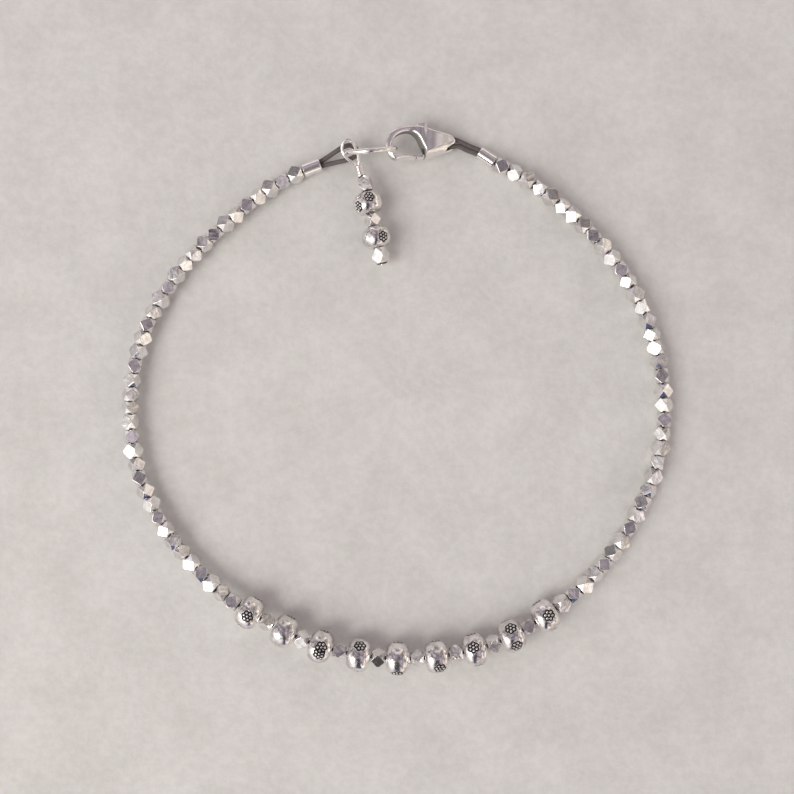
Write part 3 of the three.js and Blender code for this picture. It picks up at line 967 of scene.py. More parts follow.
@dataclass
class Bench:
    """Turns finished shapes into placed and dressed pieces.

    Attributes:
        layout: The bracelet's layout.
        finishes: Its materials.
    """

    layout: Layout
    finishes: Finishes

    def add(
        self,
        name: str,
        form: Form,
        slot: Slot,
        nodes: Sequence[str] = (),
        body: Body = Body.BRACELET,
        smooth_below: float = 40.0,
    ) -> None:
        """Makes a piece of a shape.

        Args:
            name: The piece's name.
            form: Its shape, which is freed.
            slot: The material slot that it takes its finish from.
            nodes: The frame's nodes that it stands for.
            body: The body that it moves with.
            smooth_below: Edges bent less than this many degrees are shaded smooth.
        """
        moved(form, self.layout.to_frame())
        limit = math.radians(smooth_below)
        for face in form.faces:
            face.smooth = True
        for edge in form.edges:
            edge.smooth = edge.is_manifold and edge.calc_face_angle(math.pi) < limit
        mesh = mesh_of(name, form)
        mesh.materials.append(self.finishes.by_slot[slot])
        piece = linked(name, mesh)
        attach(piece, body.value)
        if nodes:
            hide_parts(*nodes)
        LOG.info("%s: %d faces", name, len(mesh.polygons))

    def add_silver(
        self, node: str, form: Form, slot: Slot, smooth_below: float, body: Body = Body.BRACELET,
    ) -> None:
        """Makes a silver piece that takes its name from the one node that it stands for."""
        self.add(f"{node}_silver", form, slot, [node], body, smooth_below)


# ---------------- nuggets


@dataclass(frozen=True)
class NuggetForm:
    """How one nugget differs from the mean.

    Attributes:
        roll: Degrees turned about the string.
        width: Share of the mean width.
        length: Share of the mean length.
    """

    roll: float
    width: float
    length: float


NUGGET_FORMS = tuple(NuggetForm(*row) for row in (
    (8, 1.0, 1.02), (41, 0.96, 0.94), (67, 1.04, 1.05), (22, 0.98, 0.97), (72, 1.0, 1.08),
    (42, 0.94, 0.92), (33, 1.03, 1.0), (75, 0.99, 0.96), (12, 0.95, 1.06), (60, 1.02, 1.01),
    (47, 1.0, 0.99),
))


@dataclass
class NuggetCutter:
    """Cuts nuggets: little cubes with their corners taken off by hand.

    Attributes:
        half: Half of a nugget's mean width.
        corner_cut: Least and most share of an edge that a corner's facet takes.
        tilt: How far a facet may lean from true.
        edge: How far the edges between facets are rounded.
        side_cut: Where its four sides are cut, as a share of half its width.
        least_edge: Edges shorter than this are closed up.
        bore: Radius of the hole.
        bore_depth: How deep the hole's mouth is modelled.
        bore_taper: How much narrower the hole gets in that depth.
        least_rim: The least metal left between the hole and the end's own edges.
        end_shade: How much painted shade blackens the ends, where nuggets touch, from 0 to 1.
        chance: The source of the small differences.
    """

    half: float = 0.87
    corner_cut: Pair = (0.4, 0.5)
    tilt: float = 0.05
    edge: float = 0.04
    side_cut: float = 0.985
    least_edge: float = 0.02
    bore: float = 0.4
    bore_depth: float = 0.25
    bore_taper: float = 0.01
    least_rim: float = 0.05
    end_shade: float = 0.9
    chance: random.Random = field(default_factory=lambda: random.Random(11))

    def cut(
        self, length: float, width: float, roll: float, placement: Matrix, hole_aside: float = 0.0,
    ) -> Form:
        """Cuts one nugget.

        Args:
            length: Its length along the string.
            width: Its width against the mean.
            roll: Degrees turned about the string.
            placement: Where it goes.
            hole_aside: How far its hole lies off its middle.

        Returns:
            The nugget.
        """
        size = Vector((length / 2, self.half * width, self.half * width))
        form = bmesh.new()
        bmesh.ops.create_cube(form, size=2.0, matrix=Matrix.Diagonal((*size, 1)))
        for side in (Vector((0, 1, 0)), Vector((0, -1, 0)), Vector((0, 0, 1)), Vector((0, 0, -1))):
            lean = Vector((self._lean(), self._lean(), self._lean()))
            slice_off(form, side * size.y * self.side_cut, side + lean)
        for x in (-1, 1):
            for y in (-1, 1):
                for z in (-1, 1):
                    self._corner(form, size, Vector((x, y, z)))
        face_out(form)
        bmesh.ops.dissolve_degenerate(form, edges=form.edges[:], dist=self.least_edge)
        round_edges(form, form.edges[:], self.edge, segments=2)
        turn = Matrix.Rotation(math.radians(roll), 4, "X")
        self._drill(form, turn.to_3x3().inverted() @ Vector((0, hole_aside, 0)))
        # Painted shade on the end faces, where the nuggets touch, through the recess mask.
        recess = form.faces.layers.float.new("recess")
        for face in form.faces:
            face.normal_update()
            face[recess] = self.end_shade if abs(face.normal.x) > END_FACING else 0.0
        return moved(form, placement @ turn)

    def _lean(self) -> float:
        """A small chance lean."""
        return self.chance.uniform(-self.tilt, self.tilt)

    def _corner(self, form: Form, size: Vector, corner: Vector) -> None:
        """Takes off one corner.

        Args:
            form: The nugget.
            size: Half of its length, width and height.
            corner: Which corner, as a sign along each axis.
        """
        share = self.chance.uniform(*self.corner_cut)
        normal = Vector(c / s for c, s in zip(corner, size))
        point = Vector((corner.x * size.x, corner.y * size.y, corner.z * size.z * (1 - 2 * share)))
        lean = Vector((self._lean(), self._lean(), self._lean()))
        slice_off(form, point, normal.normalized() + lean)

    def _drill(self, form: Form, aside: Vector) -> None:
        """Sinks the hole's mouth into both ends.

        Args:
            form: The nugget.
            aside: How far off the middle the hole lies.
        """
        for way in (-1, 1):
            end = max(form.faces, key=lambda face: face.calc_center_median().x * way + face.normal.x * way)
            reach = min((edge.verts[0].co + edge.verts[1].co).yz.length / 2 for edge in end.edges)
            bmesh.ops.inset_region(form, faces=[end], thickness=max(reach - self.bore, self.least_rim))
            bmesh.ops.translate(form, vec=aside, verts=end.verts[:])
            bmesh.ops.inset_region(form, faces=[end], thickness=self.bore_taper, depth=-self.bore_depth)


@dataclass
class NuggetStrings:
    """The two side strings of nuggets and the thread that shows between them.

    Attributes:
        bench: Where the pieces are made.
        cutter: What cuts the nuggets.
        count: Nuggets on each side.
        gap: The gap between two nuggets.
        thread: The thread's radius.
        reach: How far the thread goes into a crimp.
        short_of_front: How far the thread ends before the first stamped bead.
    """

    bench: Bench
    cutter: NuggetCutter
    count: int = 38
    gap: float = 0.1
    thread: float = 0.24
    reach: float = 0.42
    short_of_front: float = 0.6

    def build(self) -> None:
        """Builds both strings."""
        layout = self.bench.layout
        whole = layout.path.length
        front = (layout.middle - layout.front_half, layout.middle + layout.front_half)
        right = (layout.crimp_span, front[0] - layout.string_gap)
        left = (front[1] + layout.string_gap, whole - layout.crimp_span)
        short = self.short_of_front
        self._string("right", *right, (layout.crimp_length - self.reach, front[0] - short))
        self._string("left", *left, (front[1] + short, whole - layout.crimp_length + self.reach))

    def _string(self, side: str, start: float, end: float, thread: Pair) -> None:
        """Builds one string.

        Args:
            side: The name of the side.
            start: Where its first nugget starts along the strand.
            end: Where its last nugget ends.
            thread: Where its thread starts and ends.
        """
        layout = self.bench.layout
        forms = [NUGGET_FORMS[i % len(NUGGET_FORMS)] for i in range(self.count)]
        scale = (end - start) / sum(form.length for form in forms)
        nuggets = []
        for form in forms:
            pitch = form.length * scale
            place = layout.on(start + pitch / 2)
            nuggets.append(self.cutter.cut(pitch - self.gap, form.width, form.roll, place))
            start += pitch
        name = f"{side}_nugget_string"
        self.bench.add(f"{side}_nuggets", joined(nuggets), Slot.NUGGET, [name], smooth_below=12)
        frames = layout.path.frames(steps_between(*thread, step=0.5))
        self.bench.add(f"{side}_thread", sweep(frames, self.thread, sides=10), Slot.CORD)


# ---------------- stamped beads


@dataclass(frozen=True)
class Stamp:
    """One flower on a bead.

    Attributes:
        roll: Degrees from the top towards the outside of the loop.
        shift: How far along the bead it stands.
    """

    roll: float
    shift: float = 0.0


@dataclass
class StampedBead:
    """A smooth drilled barrel with flowers struck into it and blackened.

    Attributes:
        radius: The barrel's radius.
        length: Its length.
        bore: The hole's radius.
        sides: Sides of the barrel before its stamps are refined.
        rows: Rows along each half of the outline.
        petals: Petals of a flower.
        petal: A petal's radius.
        spread: How far the petals stand from the flower's middle.
        eye: The radius of the dot in the middle.
        border: The width of the blackened border round the petals.
        depth: How deep the border is struck.
        proud: How far the petals stand out of the barrel.
        petal_dome: How far in from its edge a petal's dome reaches.
        sink_inner: Where the strike begins and is whole, from a petal's edge.
        sink_outer: Where it begins to end and has ended, from the border's outer edge.
        black_inner: The same for the blackening, from a petal's edge.
        black_outer: The same for the blackening, from the border's outer edge.
        margin: How far from a flower the barrel is refined and struck.
        end_share: The barrel's radius at its ends, as a share of its whole radius.
        fullness: How full the barrel's curve is: 2 is a ball's, and more is fuller.
        mouth: The width of the rim round the hole.
        mouth_step: How far the hole's own edge lies inside the end, as a share of half the length.
        refine: Cuts along each edge where a flower is struck.
        waver: How far the barrel is from true.
        waver_scale: How many such dents there are in each millimetre.
        mouth_shade: How far the painted shade round the hole reaches from it: where it starts and where it
            ends.
    """

    radius: float = 2.04
    length: float = 3.0
    bore: float = 0.42
    sides: int = 96
    rows: int = 15
    petals: int = 6
    petal: float = 0.152
    spread: float = 0.45
    eye: float = 0.14
    border: float = 0.2
    depth: float = 0.09
    proud: float = 0.02
    petal_dome: float = 0.1
    sink_inner: Pair = (-0.03, 0.04)
    sink_outer: Pair = (-0.05, 0.02)
    black_inner: Pair = (-0.03, 0.01)
    black_outer: Pair = (-0.03, 0.01)
    margin: Pair = (0.1, 0.05)
    end_share: float = 0.44
    fullness: float = 2.4
    mouth: float = 0.12
    mouth_step: float = 0.98
    refine: int = 3
    waver: float = 0.012
    waver_scale: float = 0.9
    mouth_shade: Pair = (0.14, 0.02)

    def profile(self) -> Outline:
        """The barrel from one hole's mouth over its outside to the other and back inside.

        Returns:
            The closed outline.
        """
        half = self.length / 2
        shares = [math.sin(math.pi / 2 * i / self.rows) for i in range(self.rows + 1)]
        side = [(half * share, self.radius * self._swell(share)) for share in shares]
        mouth = [(half, self.bore + self.mouth), (half * self.mouth_step, self.bore)]
        right = [*side, *mouth]
        left = [(-x, radius) for x, radius in reversed(right[1:])]
        return [*left, *right]

    def _swell(self, share: float) -> float:
        """The share of the radius at a share of the half length."""
        curve = math.sqrt(max(0.0, 1 - share ** self.fullness))
        return self.end_share + (1 - self.end_share) * curve

    def build(self, stamps: Sequence[Stamp], seed: int) -> Form:
        """Builds one bead lying along x.

        Args:
            stamps: Its flowers.
            seed: Picks its small differences.

        Returns:
            The bead, with a mask named recess on its points: the flowers' blackened patina and painted
            shade round the hole.
        """
        chance = random.Random(seed)
        form = lathe(self.profile(), self.sides)
        turns = [chance.uniform(0, math.tau / self.petals) for _ in stamps]
        near = {
            vert for vert in form.verts
            if any(self._offset(vert.co, stamp).length < self._reach() + self.margin[0] for stamp in stamps)
        }
        edges = [edge for edge in form.edges if edge.verts[0] in near and edge.verts[1] in near]
        bmesh.ops.subdivide_edges(form, edges=edges, cuts=self.refine, use_grid_fill=True)
        # Painted shade round the hole's mouth, through the recess mask.
        shade_from, shade_to = (self.bore + reach for reach in self.mouth_shade)
        recess = form.verts.layers.float.new("recess")
        for vert in form.verts:
            outward = Vector((0, vert.co.y, vert.co.z))
            if outward.length < shade_from:
                vert[recess] = ease(shade_from, shade_to, outward.length)
                continue
            lift = self.waver * noise.noise(vert.co * self.waver_scale + Vector((seed, 0, 0)))
            struck = [self._relief(vert.co, stamp, turn) for stamp, turn in zip(stamps, turns)]
            height, mask = max(struck, key=lambda pair: pair[1] + abs(pair[0]), default=(0.0, 0.0))
            vert[recess] = mask
            vert.co += outward.normalized() * (lift + height)
        return face_out(form)

    def _reach(self) -> float:
        """A flower's whole radius."""
        return self.spread + self.petal + self.border

    def _offset(self, point: Vector, stamp: Stamp) -> Vector:
        """Measures a point from a stamp's middle, along the barrel and round it.

        Args:
            point: The point.
            stamp: The stamp.

        Returns:
            The way from the middle to the point.
        """
        angle = math.atan2(point.y, point.z) - math.radians(stamp.roll)
        around = (angle + math.pi) % math.tau - math.pi
        return Vector((point.x - stamp.shift, around * self.radius))

    def _relief(self, point: Vector, stamp: Stamp, turn: float) -> Pair:
        """How a flower raises or sinks a point, and how black it is there.

        Args:
            point: A point of the bead.
            stamp: The flower.
            turn: Radians that the flower is turned by.

        Returns:
            The height from the barrel, and the mask.
        """
        place = self._offset(point, stamp)
        if place.length > self._reach() + self.margin[1]:
            return 0.0, 0.0
        gaps = [place.length - self.eye]
        for i in range(self.petals):
            angle = turn + math.tau * i / self.petals
            middle = Vector((math.cos(angle), math.sin(angle))) * self.spread
            gaps.append((place - middle).length - self.petal)
        gap = min(gaps)
        sunk = self._in_border(gap, self.sink_inner, self.sink_outer)
        black = self._in_border(gap, self.black_inner, self.black_outer)
        inside = 1 - ease(-self.petal_dome, 0.0, gap)
        return self.proud * inside - self.depth * sunk, black

    def _in_border(self, gap: float, inner: Pair, outer: Pair) -> float:
        """How much a point this far from the nearest petal's edge lies in the struck border."""
        begun = ease(*inner, gap)
        return begun * (1 - ease(self.border + outer[0], self.border + outer[1], gap))


FRONT_STAMPS: tuple[tuple[Stamp, ...], ...] = (
    (Stamp(0, -0.09), Stamp(75), Stamp(150), Stamp(258)),
    (Stamp(85), Stamp(150), Stamp(258)),
    (Stamp(-14, -0.14), Stamp(11, -0.14), Stamp(100), Stamp(178), Stamp(258)),
    (Stamp(-52), Stamp(85), Stamp(160), Stamp(235)),
    (Stamp(55), Stamp(125), Stamp(190), Stamp(255)),
    (Stamp(32, -0.25), Stamp(110), Stamp(185), Stamp(258)),
    (Stamp(-26, 0.15), Stamp(75), Stamp(150), Stamp(258)),
    (Stamp(-45, -0.3), Stamp(27, -0.03), Stamp(105), Stamp(180), Stamp(250)),
    (Stamp(-11, -0.29), Stamp(78), Stamp(150), Stamp(258)),
)


@dataclass
class FrontBeads:
    """The front: stamped beads and nuggets in turn on a cord.

    Attributes:
        bench: Where the pieces are made.
        cutter: What cuts the nuggets.
        bead: The stamped bead.
        nugget_length: Length of a nugget between two stamped beads.
        cord: The cord's radius.
        cord_reach: How far the cord goes past the last bead.
    """

    bench: Bench
    cutter: NuggetCutter
    bead: StampedBead
    nugget_length: float = 1.66
    cord: float = 0.24
    cord_reach: float = 0.36

    def build(self) -> None:
        """Builds the beads, the nuggets between them and the cord."""
        layout = self.bench.layout
        centre = (layout.beads + 1) / 2
        for number, stamps in enumerate(FRONT_STAMPS, start=1):
            place = layout.on(layout.middle + (centre - number) * layout.bead_pitch)
            form = moved(self.bead.build(stamps, seed=number), place)
            self.bench.add_silver(f"stamped_bead_{number}", form, Slot.STAMPED, smooth_below=75)
        for number in range(1, layout.beads):
            row = NUGGET_FORMS[number]
            place = layout.on(layout.middle + (centre - 0.5 - number) * layout.bead_pitch)
            form = self.cutter.cut(self.nugget_length, row.width, row.roll, place)
            self.bench.add_silver(f"front_nugget_{number}", form, Slot.NUGGET, smooth_below=12)
        reach = layout.front_half + self.cord_reach
        frames = layout.path.frames(steps_between(layout.middle - reach, layout.middle + reach, step=0.5))
        self.bench.add("front_thread", sweep(frames, self.cord, sides=10), Slot.CORD, ["front_cord"])


# ---------------- crimps and cord loops


@dataclass
class Crimp:
    """A crimp tube rolled from strip, with its seam, pressed on the cord.

    Attributes:
        length: Its length.
        radius: Its outer radius.
        mouth: Its inner radius.
        recess: How deep each mouth is.
        lip: How far its rims are rounded.
        seam: How deep the seam is.
        seam_half_width: Half of the seam's width.
        seam_rise: How much shallower the seam is at its edges, as a share of its depth.
        inner_shade: How much painted shade blackens the mouths, from 0 to 1.
        sides: Sides of the tube.
        lip_steps: Steps round each rim's quarter circle.
    """

    length: float
    radius: float = 0.83
    mouth: float = 0.7
    recess: float = 0.6
    lip: float = 0.06
    seam: float = 0.13
    seam_half_width: float = 0.06
    seam_rise: float = 0.4
    inner_shade: float = 0.8
    sides: int = 84
    lip_steps: int = 4

    def build(self, placement: Matrix, seam_at: float) -> Form:
        """Builds one crimp.

        Args:
            placement: Where its inner end goes, its x towards the clasp.
            seam_at: Degrees from the top to its seam.

        Returns:
            The crimp.
        """
        near_end = [
            (self.lip * (1 - math.cos(angle)), self.radius - self.lip * (1 - math.sin(angle)))
            for angle in (math.pi / 2 / self.lip_steps * i for i in range(self.lip_steps + 1))
        ]
        far_end = [(self.length - x, radius) for x, radius in reversed(near_end)]
        places = steps_between(self.lip, self.length - self.lip, step=0.2)[1:-1]
        rows = [(x, self.radius) for x in places]
        floor = self.length - self.recess
        inside = [
            (self.length, self.mouth), (floor, self.mouth), (floor, 0),
            (self.recess, 0), (self.recess, self.mouth), (0, self.mouth),
        ]
        form = lathe([*near_end, *rows, *far_end, *inside], self.sides)
        # The recess mask paints shade along the seam and inside both mouths.
        recess = form.verts.layers.float.new("recess")
        seam = math.radians(seam_at)
        width = self.seam_half_width / self.radius
        for vert in form.verts:
            angle = math.atan2(vert.co.y, vert.co.z)
            off = abs((angle - seam + math.pi) % math.tau - math.pi)
            reach = vert.co.yz.length
            inside = reach < self.mouth + self.lip / 2
            if off < width and not inside:
                sunk = self.seam * (1 - self.seam_rise * off / width)
                vert.co.yz = vert.co.yz * (reach - sunk) / reach
                vert[recess] = 1.0
            elif inside:
                vert[recess] = self.inner_shade
        return face_out(moved(form, placement))


@dataclass
class CordEnds:
    """The crimps and the cord loops that leave them.

    Attributes:
        bench: Where the pieces are made.
        crimp: The crimp.
        clasp_at: The middle of the clasp's tail eye.
        ring: The jump ring.
        radius: The cord's radius.
        apart: How far each strand lies from the middle of a crimp's mouth.
        depth: How far a strand reaches into a crimp.
        straight: How far a strand runs straight out of a crimp.
        flatness: How much wider than round the cord is, as a share of its radius.
        right_route: The right loop in plan, from the middle of the clasp's tail eye.
        left_route: The left loop forward, aside and up from the ring's wire.
        left_at: Where on the ring the left loop holds, in degrees.
        seams_at: Degrees from the top to the right crimp's seam and to the left one's.
    """

    bench: Bench
    crimp: Crimp
    clasp_at: Vector
    ring: "JumpRing"
    radius: float = 0.28
    apart: float = 0.3
    depth: float = 0.45
    straight: float = 0.2
    flatness: float = 0.1
    right_route: Outline = (
        (2.3, -0.8), (1.5, -0.43), (1.0, -0.25), (0.6, -0.25), (0.15, -0.35), (-0.3, -0.24),
        (-0.49, 0.12), (-0.25, 0.54), (0.3, 0.69), (0.9, 0.5), (1.7, 0.15), (2.6, -0.28),
    )
    left_route: tuple[tuple[float, float, float], ...] = (
        (-1.9, 0.66, -0.3), (-0.7, 0.86, -0.02), (0.3, 0.74, 0.04), (0.8, 0, 0.06),
        (0.3, -0.74, 0.04), (-0.7, -0.86, -0.02), (-1.9, -0.66, -0.3),
    )
    left_at: float = 206.0
    seams_at: Pair = (40, 110)

    def build(self) -> SmoothPath:
        """Builds both ends.

        Returns:
            The middle line of the right loop, which holds the clasp.
        """
        path = self.bench.layout.path
        length = self.crimp.length
        outward = -path.direction(length / 2)
        self._crimp("right", along(path.at(length), outward), self.seams_at[0])
        route = [self.clasp_at + Vector((x, y, 0)) for x, y in self.right_route]
        clasp_cord = self._loop("right", path.at(0), outward, route)

        outward = path.direction(path.length - length / 2)
        self._crimp("left", along(path.at(path.length - length), outward), self.seams_at[1])
        mouth = path.at(path.length)
        hold = self.ring.point(self.left_at)
        ahead = (hold - mouth) * Vector((1, 1, 0))
        ahead.normalize()
        aside = UP.cross(ahead)
        route = [hold + ahead * x + aside * y + UP * z for x, y, z in self.left_route]
        self._loop("left", mouth, outward, route)
        return clasp_cord

    def _crimp(self, side: str, place: Matrix, seam_at: float) -> None:
        """Builds the crimp of one side."""
        form = self.crimp.build(place, seam_at)
        self.bench.add(f"{side}_crimp_tube", form, Slot.FINDING, [f"crimp_{side}"], smooth_below=30)

    def _loop(self, side: str, mouth: Vector, outward: Vector, route: Sequence[Vector]) -> SmoothPath:
        """Builds the cord loop of one side.

        Args:
            side: The name of the side.
            mouth: The middle of its crimp's mouth.
            outward: The way out of the crimp.
            route: Where the loop goes.

        Returns:
            The loop's middle line.
        """
        off = UP.cross(outward).normalized() * self.apart
        path = SmoothPath([
            mouth - outward * self.depth + off, mouth + outward * self.straight + off, *route,
            mouth + outward * self.straight - off, mouth - outward * self.depth - off,
        ])
        form = sweep(
            path.level_frames(steps_between(0, path.length, step=0.1)), self.radius, sides=20,
            shape=lambda angle: 1 + self.flatness * math.cos(2 * angle),
        )
        self.bench.add(f"{side}_cord_loop", form, Slot.CORD, [f"cord_loop_{side}"], smooth_below=80)
        return path


@dataclass
class JumpRing:
    """The jump ring, standing on its edge, with its cut.

    Attributes:
        bench: Where the pieces are made.
        turn: Degrees that its plane is turned in plan.
        cut_at: Where its cut is, in degrees from its right-hand side.
        cut: The cut's width.
        steps: Steps round the ring.
    """

    bench: Bench
    turn: float = 4.3
    cut_at: float = 285.0
    cut: float = 0.05
    steps: int = 120

    def plane(self) -> Matrix:
        """Stands the ring up and leans it.

        Returns:
            Its placement, with its axis along z.
        """
        layout = self.bench.layout
        turn, lean = math.radians(self.turn), math.radians(layout.ring_lean)
        across = Vector((math.cos(turn), math.sin(turn), 0))
        up = Vector((math.sin(turn) * math.sin(lean), -math.cos(turn) * math.sin(lean), math.cos(lean)))
        basis = Matrix((across, up, across.cross(up))).transposed().to_4x4()
        return Matrix.Translation((*layout.ring_centre, layout.ring_height)) @ basis

    def point(self, degrees: float) -> Vector:
        """A point of the ring's centre line."""
        radius, angle = self.bench.layout.ring_radius, math.radians(degrees)
        return self.plane() @ Vector((radius * math.cos(angle), radius * math.sin(angle), 0))

    def build(self) -> None:
        """Builds the ring, its two cut ends flat and close."""
        layout = self.bench.layout
        half = math.degrees(self.cut / layout.ring_radius) / 2
        angles = [
            self.cut_at + half + (360 - 2 * half) * i / self.steps for i in range(self.steps + 1)
        ]
        frames = []
        for degrees in angles:
            turn = Matrix.Rotation(math.radians(degrees), 4, "Z")
            out = Matrix.Translation((layout.ring_radius, 0, 0))
            frames.append(self.plane() @ turn @ out @ Matrix.Rotation(-math.pi / 2, 4, "X"))
        form = sweep(frames, layout.ring_wire, sides=24)
        self.bench.add("jump_ring_wire", form, Slot.FINDING, ["jump_ring"], smooth_below=50)


# ---------------- the clasp


def flat(*points: Pair) -> list[Vector]:
    """Points in a plane as vectors."""
    return [Vector((x, y, 0)) for x, y in points]


@dataclass
class LobsterClasp:
    """The lobster clasp: a cast body with hook, cheeks and tail, and its sprung lever.

    Attributes:
        bench: Where the pieces are made.
        at: The middle of the tail's eye.
        tilt: Degrees that the hook is raised.
        outline: The body's outline in plan, from the eye.
        hole: The outline of the hook's hole.
        thickness: Rows of place along the body and half of its thickness there.
        round_outside: How far the outer rims are rounded.
        round_inside: How far the hole's rims are rounded.
        round_shares: The most of the body's width that each of those may take up.
        wall: The share of the thickness that the hole's wall stands upright.
        ridge: The ends of the ridge between the top and the flank that faces the loop.
        ridge_from: Where along the body the ridge begins to rise, and where it is whole.
        lean: How much the top falls away from the ridge in each millimetre.
        flank: The share of the thickness that the flank falls evenly.
        hole_middle: The middle of the hook's hole.
        hole_samples: Points round the hole that the outline's points are matched with.
        rim_points: Points round each outline.
        rings: Rings of points between the two outlines.
        slot: The outline of the cord's slot, on the tail's side that faces the loop.
        slot_mouth: The outline of what is taken off above the slot's lip.
        slot_floor: The height of the slot's floor.
        slot_lip: The height of its lip.
        pivot: Where the lever's pin is.
        swing: How far the lever opens, in degrees.
        gate: The gate's middle line.
        arm: The lever's arm, to the thumb nub.
        gate_half_width: Half of the gate's width.
        root_half_width: Half of the width between the gate and the pin.
        arm_half_width: Half of the arm's width.
        soft: How far the rims of the arm, the root and the gate are rounded.
        gate_half_thickness: Half of the gate's thickness.
        lever_half_thickness: Half of the arm's thickness.
        boss: The radius of the lever's boss.
        clearance: The room left round the lever.
        pin: The pin's radius.
        pin_half: Half of its length.
        pin_clearance: The room left round it in the lever.
        channel_clearance: The room left round the cord.
        channel_reach: How far the cord's channel goes to each side of the cord's middle.
        channel_overlap: How far its two halves go past that middle.
        inner_shade: How much painted shade darkens the body inside, from 0 to 1.
        on_wall: Points this near to the hole's outline are on its wall.
        skin: Points this much below the dome are inside the body.
        nub: The arm's oval end: its place, and half of its length and of its width.
        nub_rounding: How far its rims are rounded.
        nub_sides: Sides of its outline.
        gap: The gate's gap: left, right, top and bottom.
        reach_through: Half of the thickness of a cut that goes right through.
        spine: The thickness rows as a smooth line.
    """

    bench: Bench
    at: Vector = field(default_factory=lambda: Vector((6.7, 33.2, 0.92)))
    tilt: float = 12.5
    outline: Outline = (
        (-8.6, -0.4), (-8.08, 0.95), (-6.8, 1.78), (-4.9, 2.06), (-3.5, 1.96), (-2.2, 1.6),
        (-1.0, 1.42), (0.2, 1.1), (0.78, 0.25), (0.3, -0.76), (-1.4, -1.48), (-3.2, -2.12),
        (-5.0, -2.26), (-6.3, -2.3), (-7.3, -2.56), (-8.3, -1.78),
    )
    hole: Outline = (
        (-7.82, -0.6), (-7.32, 0.4), (-6.2, 1.05), (-5.2, 1.1), (-4.45, 0.58), (-3.98, -0.25),
        (-3.48, -1.3), (-3.68, -1.74), (-5.0, -1.8), (-6.7, -1.82), (-7.74, -1.5),
    )
    thickness: Outline = (
        (-8.9, 0.58), (-7.4, 0.68), (-5.2, 0.84), (-3.9, 1.1),
        (-2.6, 1.18), (-1.3, 1.0), (-0.3, 0.76), (1.1, 0.62),
    )
    round_outside: float = 0.42
    round_inside: float = 0.3
    round_shares: Pair = (0.6, 0.4)
    wall: float = 0.62
    ridge: Outline = ((-3.2, -1.36), (0.58, 0.42))
    ridge_from: Pair = (-3.9, -3.1)
    lean: float = 0.045
    flank: float = 0.36
    hole_middle: Pair = (-5.7, -0.4)
    hole_samples: int = 1200
    rim_points: int = 160
    rings: int = 30
    slot: Outline = (
        (-0.72, -1.06), (-0.48, -0.62), (0.1, -0.18), (0.52, 0.04),
        (0.56, -0.16), (0.3, -0.58), (-0.2, -0.84),
    )
    slot_mouth: Outline = (
        (-0.5, -0.62), (0.1, -0.18), (0.62, 0.16), (1.6, 0.6),
        (1.6, -2.0), (0.5, -2.0), (-0.25, -0.9),
    )
    slot_floor: float = -0.36
    slot_lip: float = 0.34
    pivot: Pair = (-2.5, -1.08)
    swing: float = 28.0
    gate: Outline = ((-4.52, -1.99), (-3.6, -1.93), (-2.5, -1.08))
    arm: Outline = ((-2.5, -1.08), (-2.75, 0.1), (-3.3, 1.3), (-3.82, 2.16))
    gate_half_width: float = 0.24
    root_half_width: float = 0.18
    arm_half_width: float = 0.27
    soft: tuple[float, float, float] = (0.2, 0.06, 0.1)
    gate_half_thickness: float = 0.72
    lever_half_thickness: float = 0.42
    boss: float = 0.44
    clearance: float = 0.13
    pin: float = 0.2
    pin_half: float = 0.8
    pin_clearance: float = 0.11
    gap: tuple[float, float, float, float] = (-4.7, -3.43, -1.59, -2.79)
    reach_through: float = 4.0
    channel_clearance: float = 0.1
    channel_reach: float = 2.6
    channel_overlap: float = 0.05
    inner_shade: float = 0.7
    on_wall: float = 0.02
    skin: float = 0.08
    nub: tuple[float, float, float, float] = (-3.8, 2.18, 0.62, 0.4)
    nub_rounding: float = 0.14
    nub_sides: int = 40
    spine: list[Vector] = field(init=False)

    def __post_init__(self) -> None:
        """Smooths the thickness along the body."""
        self.spine = SmoothPath(flat(*self.thickness), fineness=20).samples

    def placement(self) -> Matrix:
        """Where the clasp goes."""
        return Matrix.Translation(self.at) @ Matrix.Rotation(math.radians(self.tilt), 4, "Y")

    def build(self, cord: SmoothPath, cord_radius: float) -> None:
        """Builds the body and the lever.

        Args:
            cord: The middle line of the cord that loops through the tail.
            cord_radius: That cord's radius.
        """
        cuts = [*self._cuts(), *self._channel(cord, cord_radius + self.channel_clearance)]
        tools = [(shape, "DIFFERENCE") for shape in cuts]
        body = carved(self._body(), [*tools, (self._pin(self.pin, self.pin_half), "UNION")])
        self._paint_inner_shade(body)
        self.bench.add_silver("clasp_body", moved(body, self.placement()), Slot.FINDING, smooth_below=42)
        lever = moved(self._lever(), self.placement())
        self.bench.add_silver("clasp_lever", lever, Slot.FINDING, 42, Body.LEVER)

    def _rims(self) -> tuple[list[Vector], list[Vector]]:
        """Spaces points evenly round the body.

        Returns:
            The outline's points, and the hole's points in line with them.
        """
        middle = Vector((*self.hole_middle, 0))
        path, inside = (SmoothPath(flat(*points), closed=True) for points in (self.outline, self.hole))
        outer = [path.at(path.length * i / self.rim_points) for i in range(self.rim_points)]
        hole = [inside.at(inside.length * i / self.hole_samples) for i in range(self.hole_samples)]
        rays = [(point - middle).normalized() for point in hole]
        inner = []
        for point in outer:
            way = (point - middle).normalized()
            inner.append(hole[max(range(len(hole)), key=lambda i: rays[i].dot(way))])
        return outer, inner

    def _half_at(self, x: float) -> float:
        """Half of the body's thickness at a place along it.

        Args:
            x: How far along the body.

        Returns:
            The half thickness.
        """
        before, after = next(
            ((a, b) for a, b in pairwise(self.spine) if x <= b.x), (self.spine[-2], self.spine[-1]),
        )
        return before.y + (after.y - before.y) * (x - before.x) / (after.x - before.x)

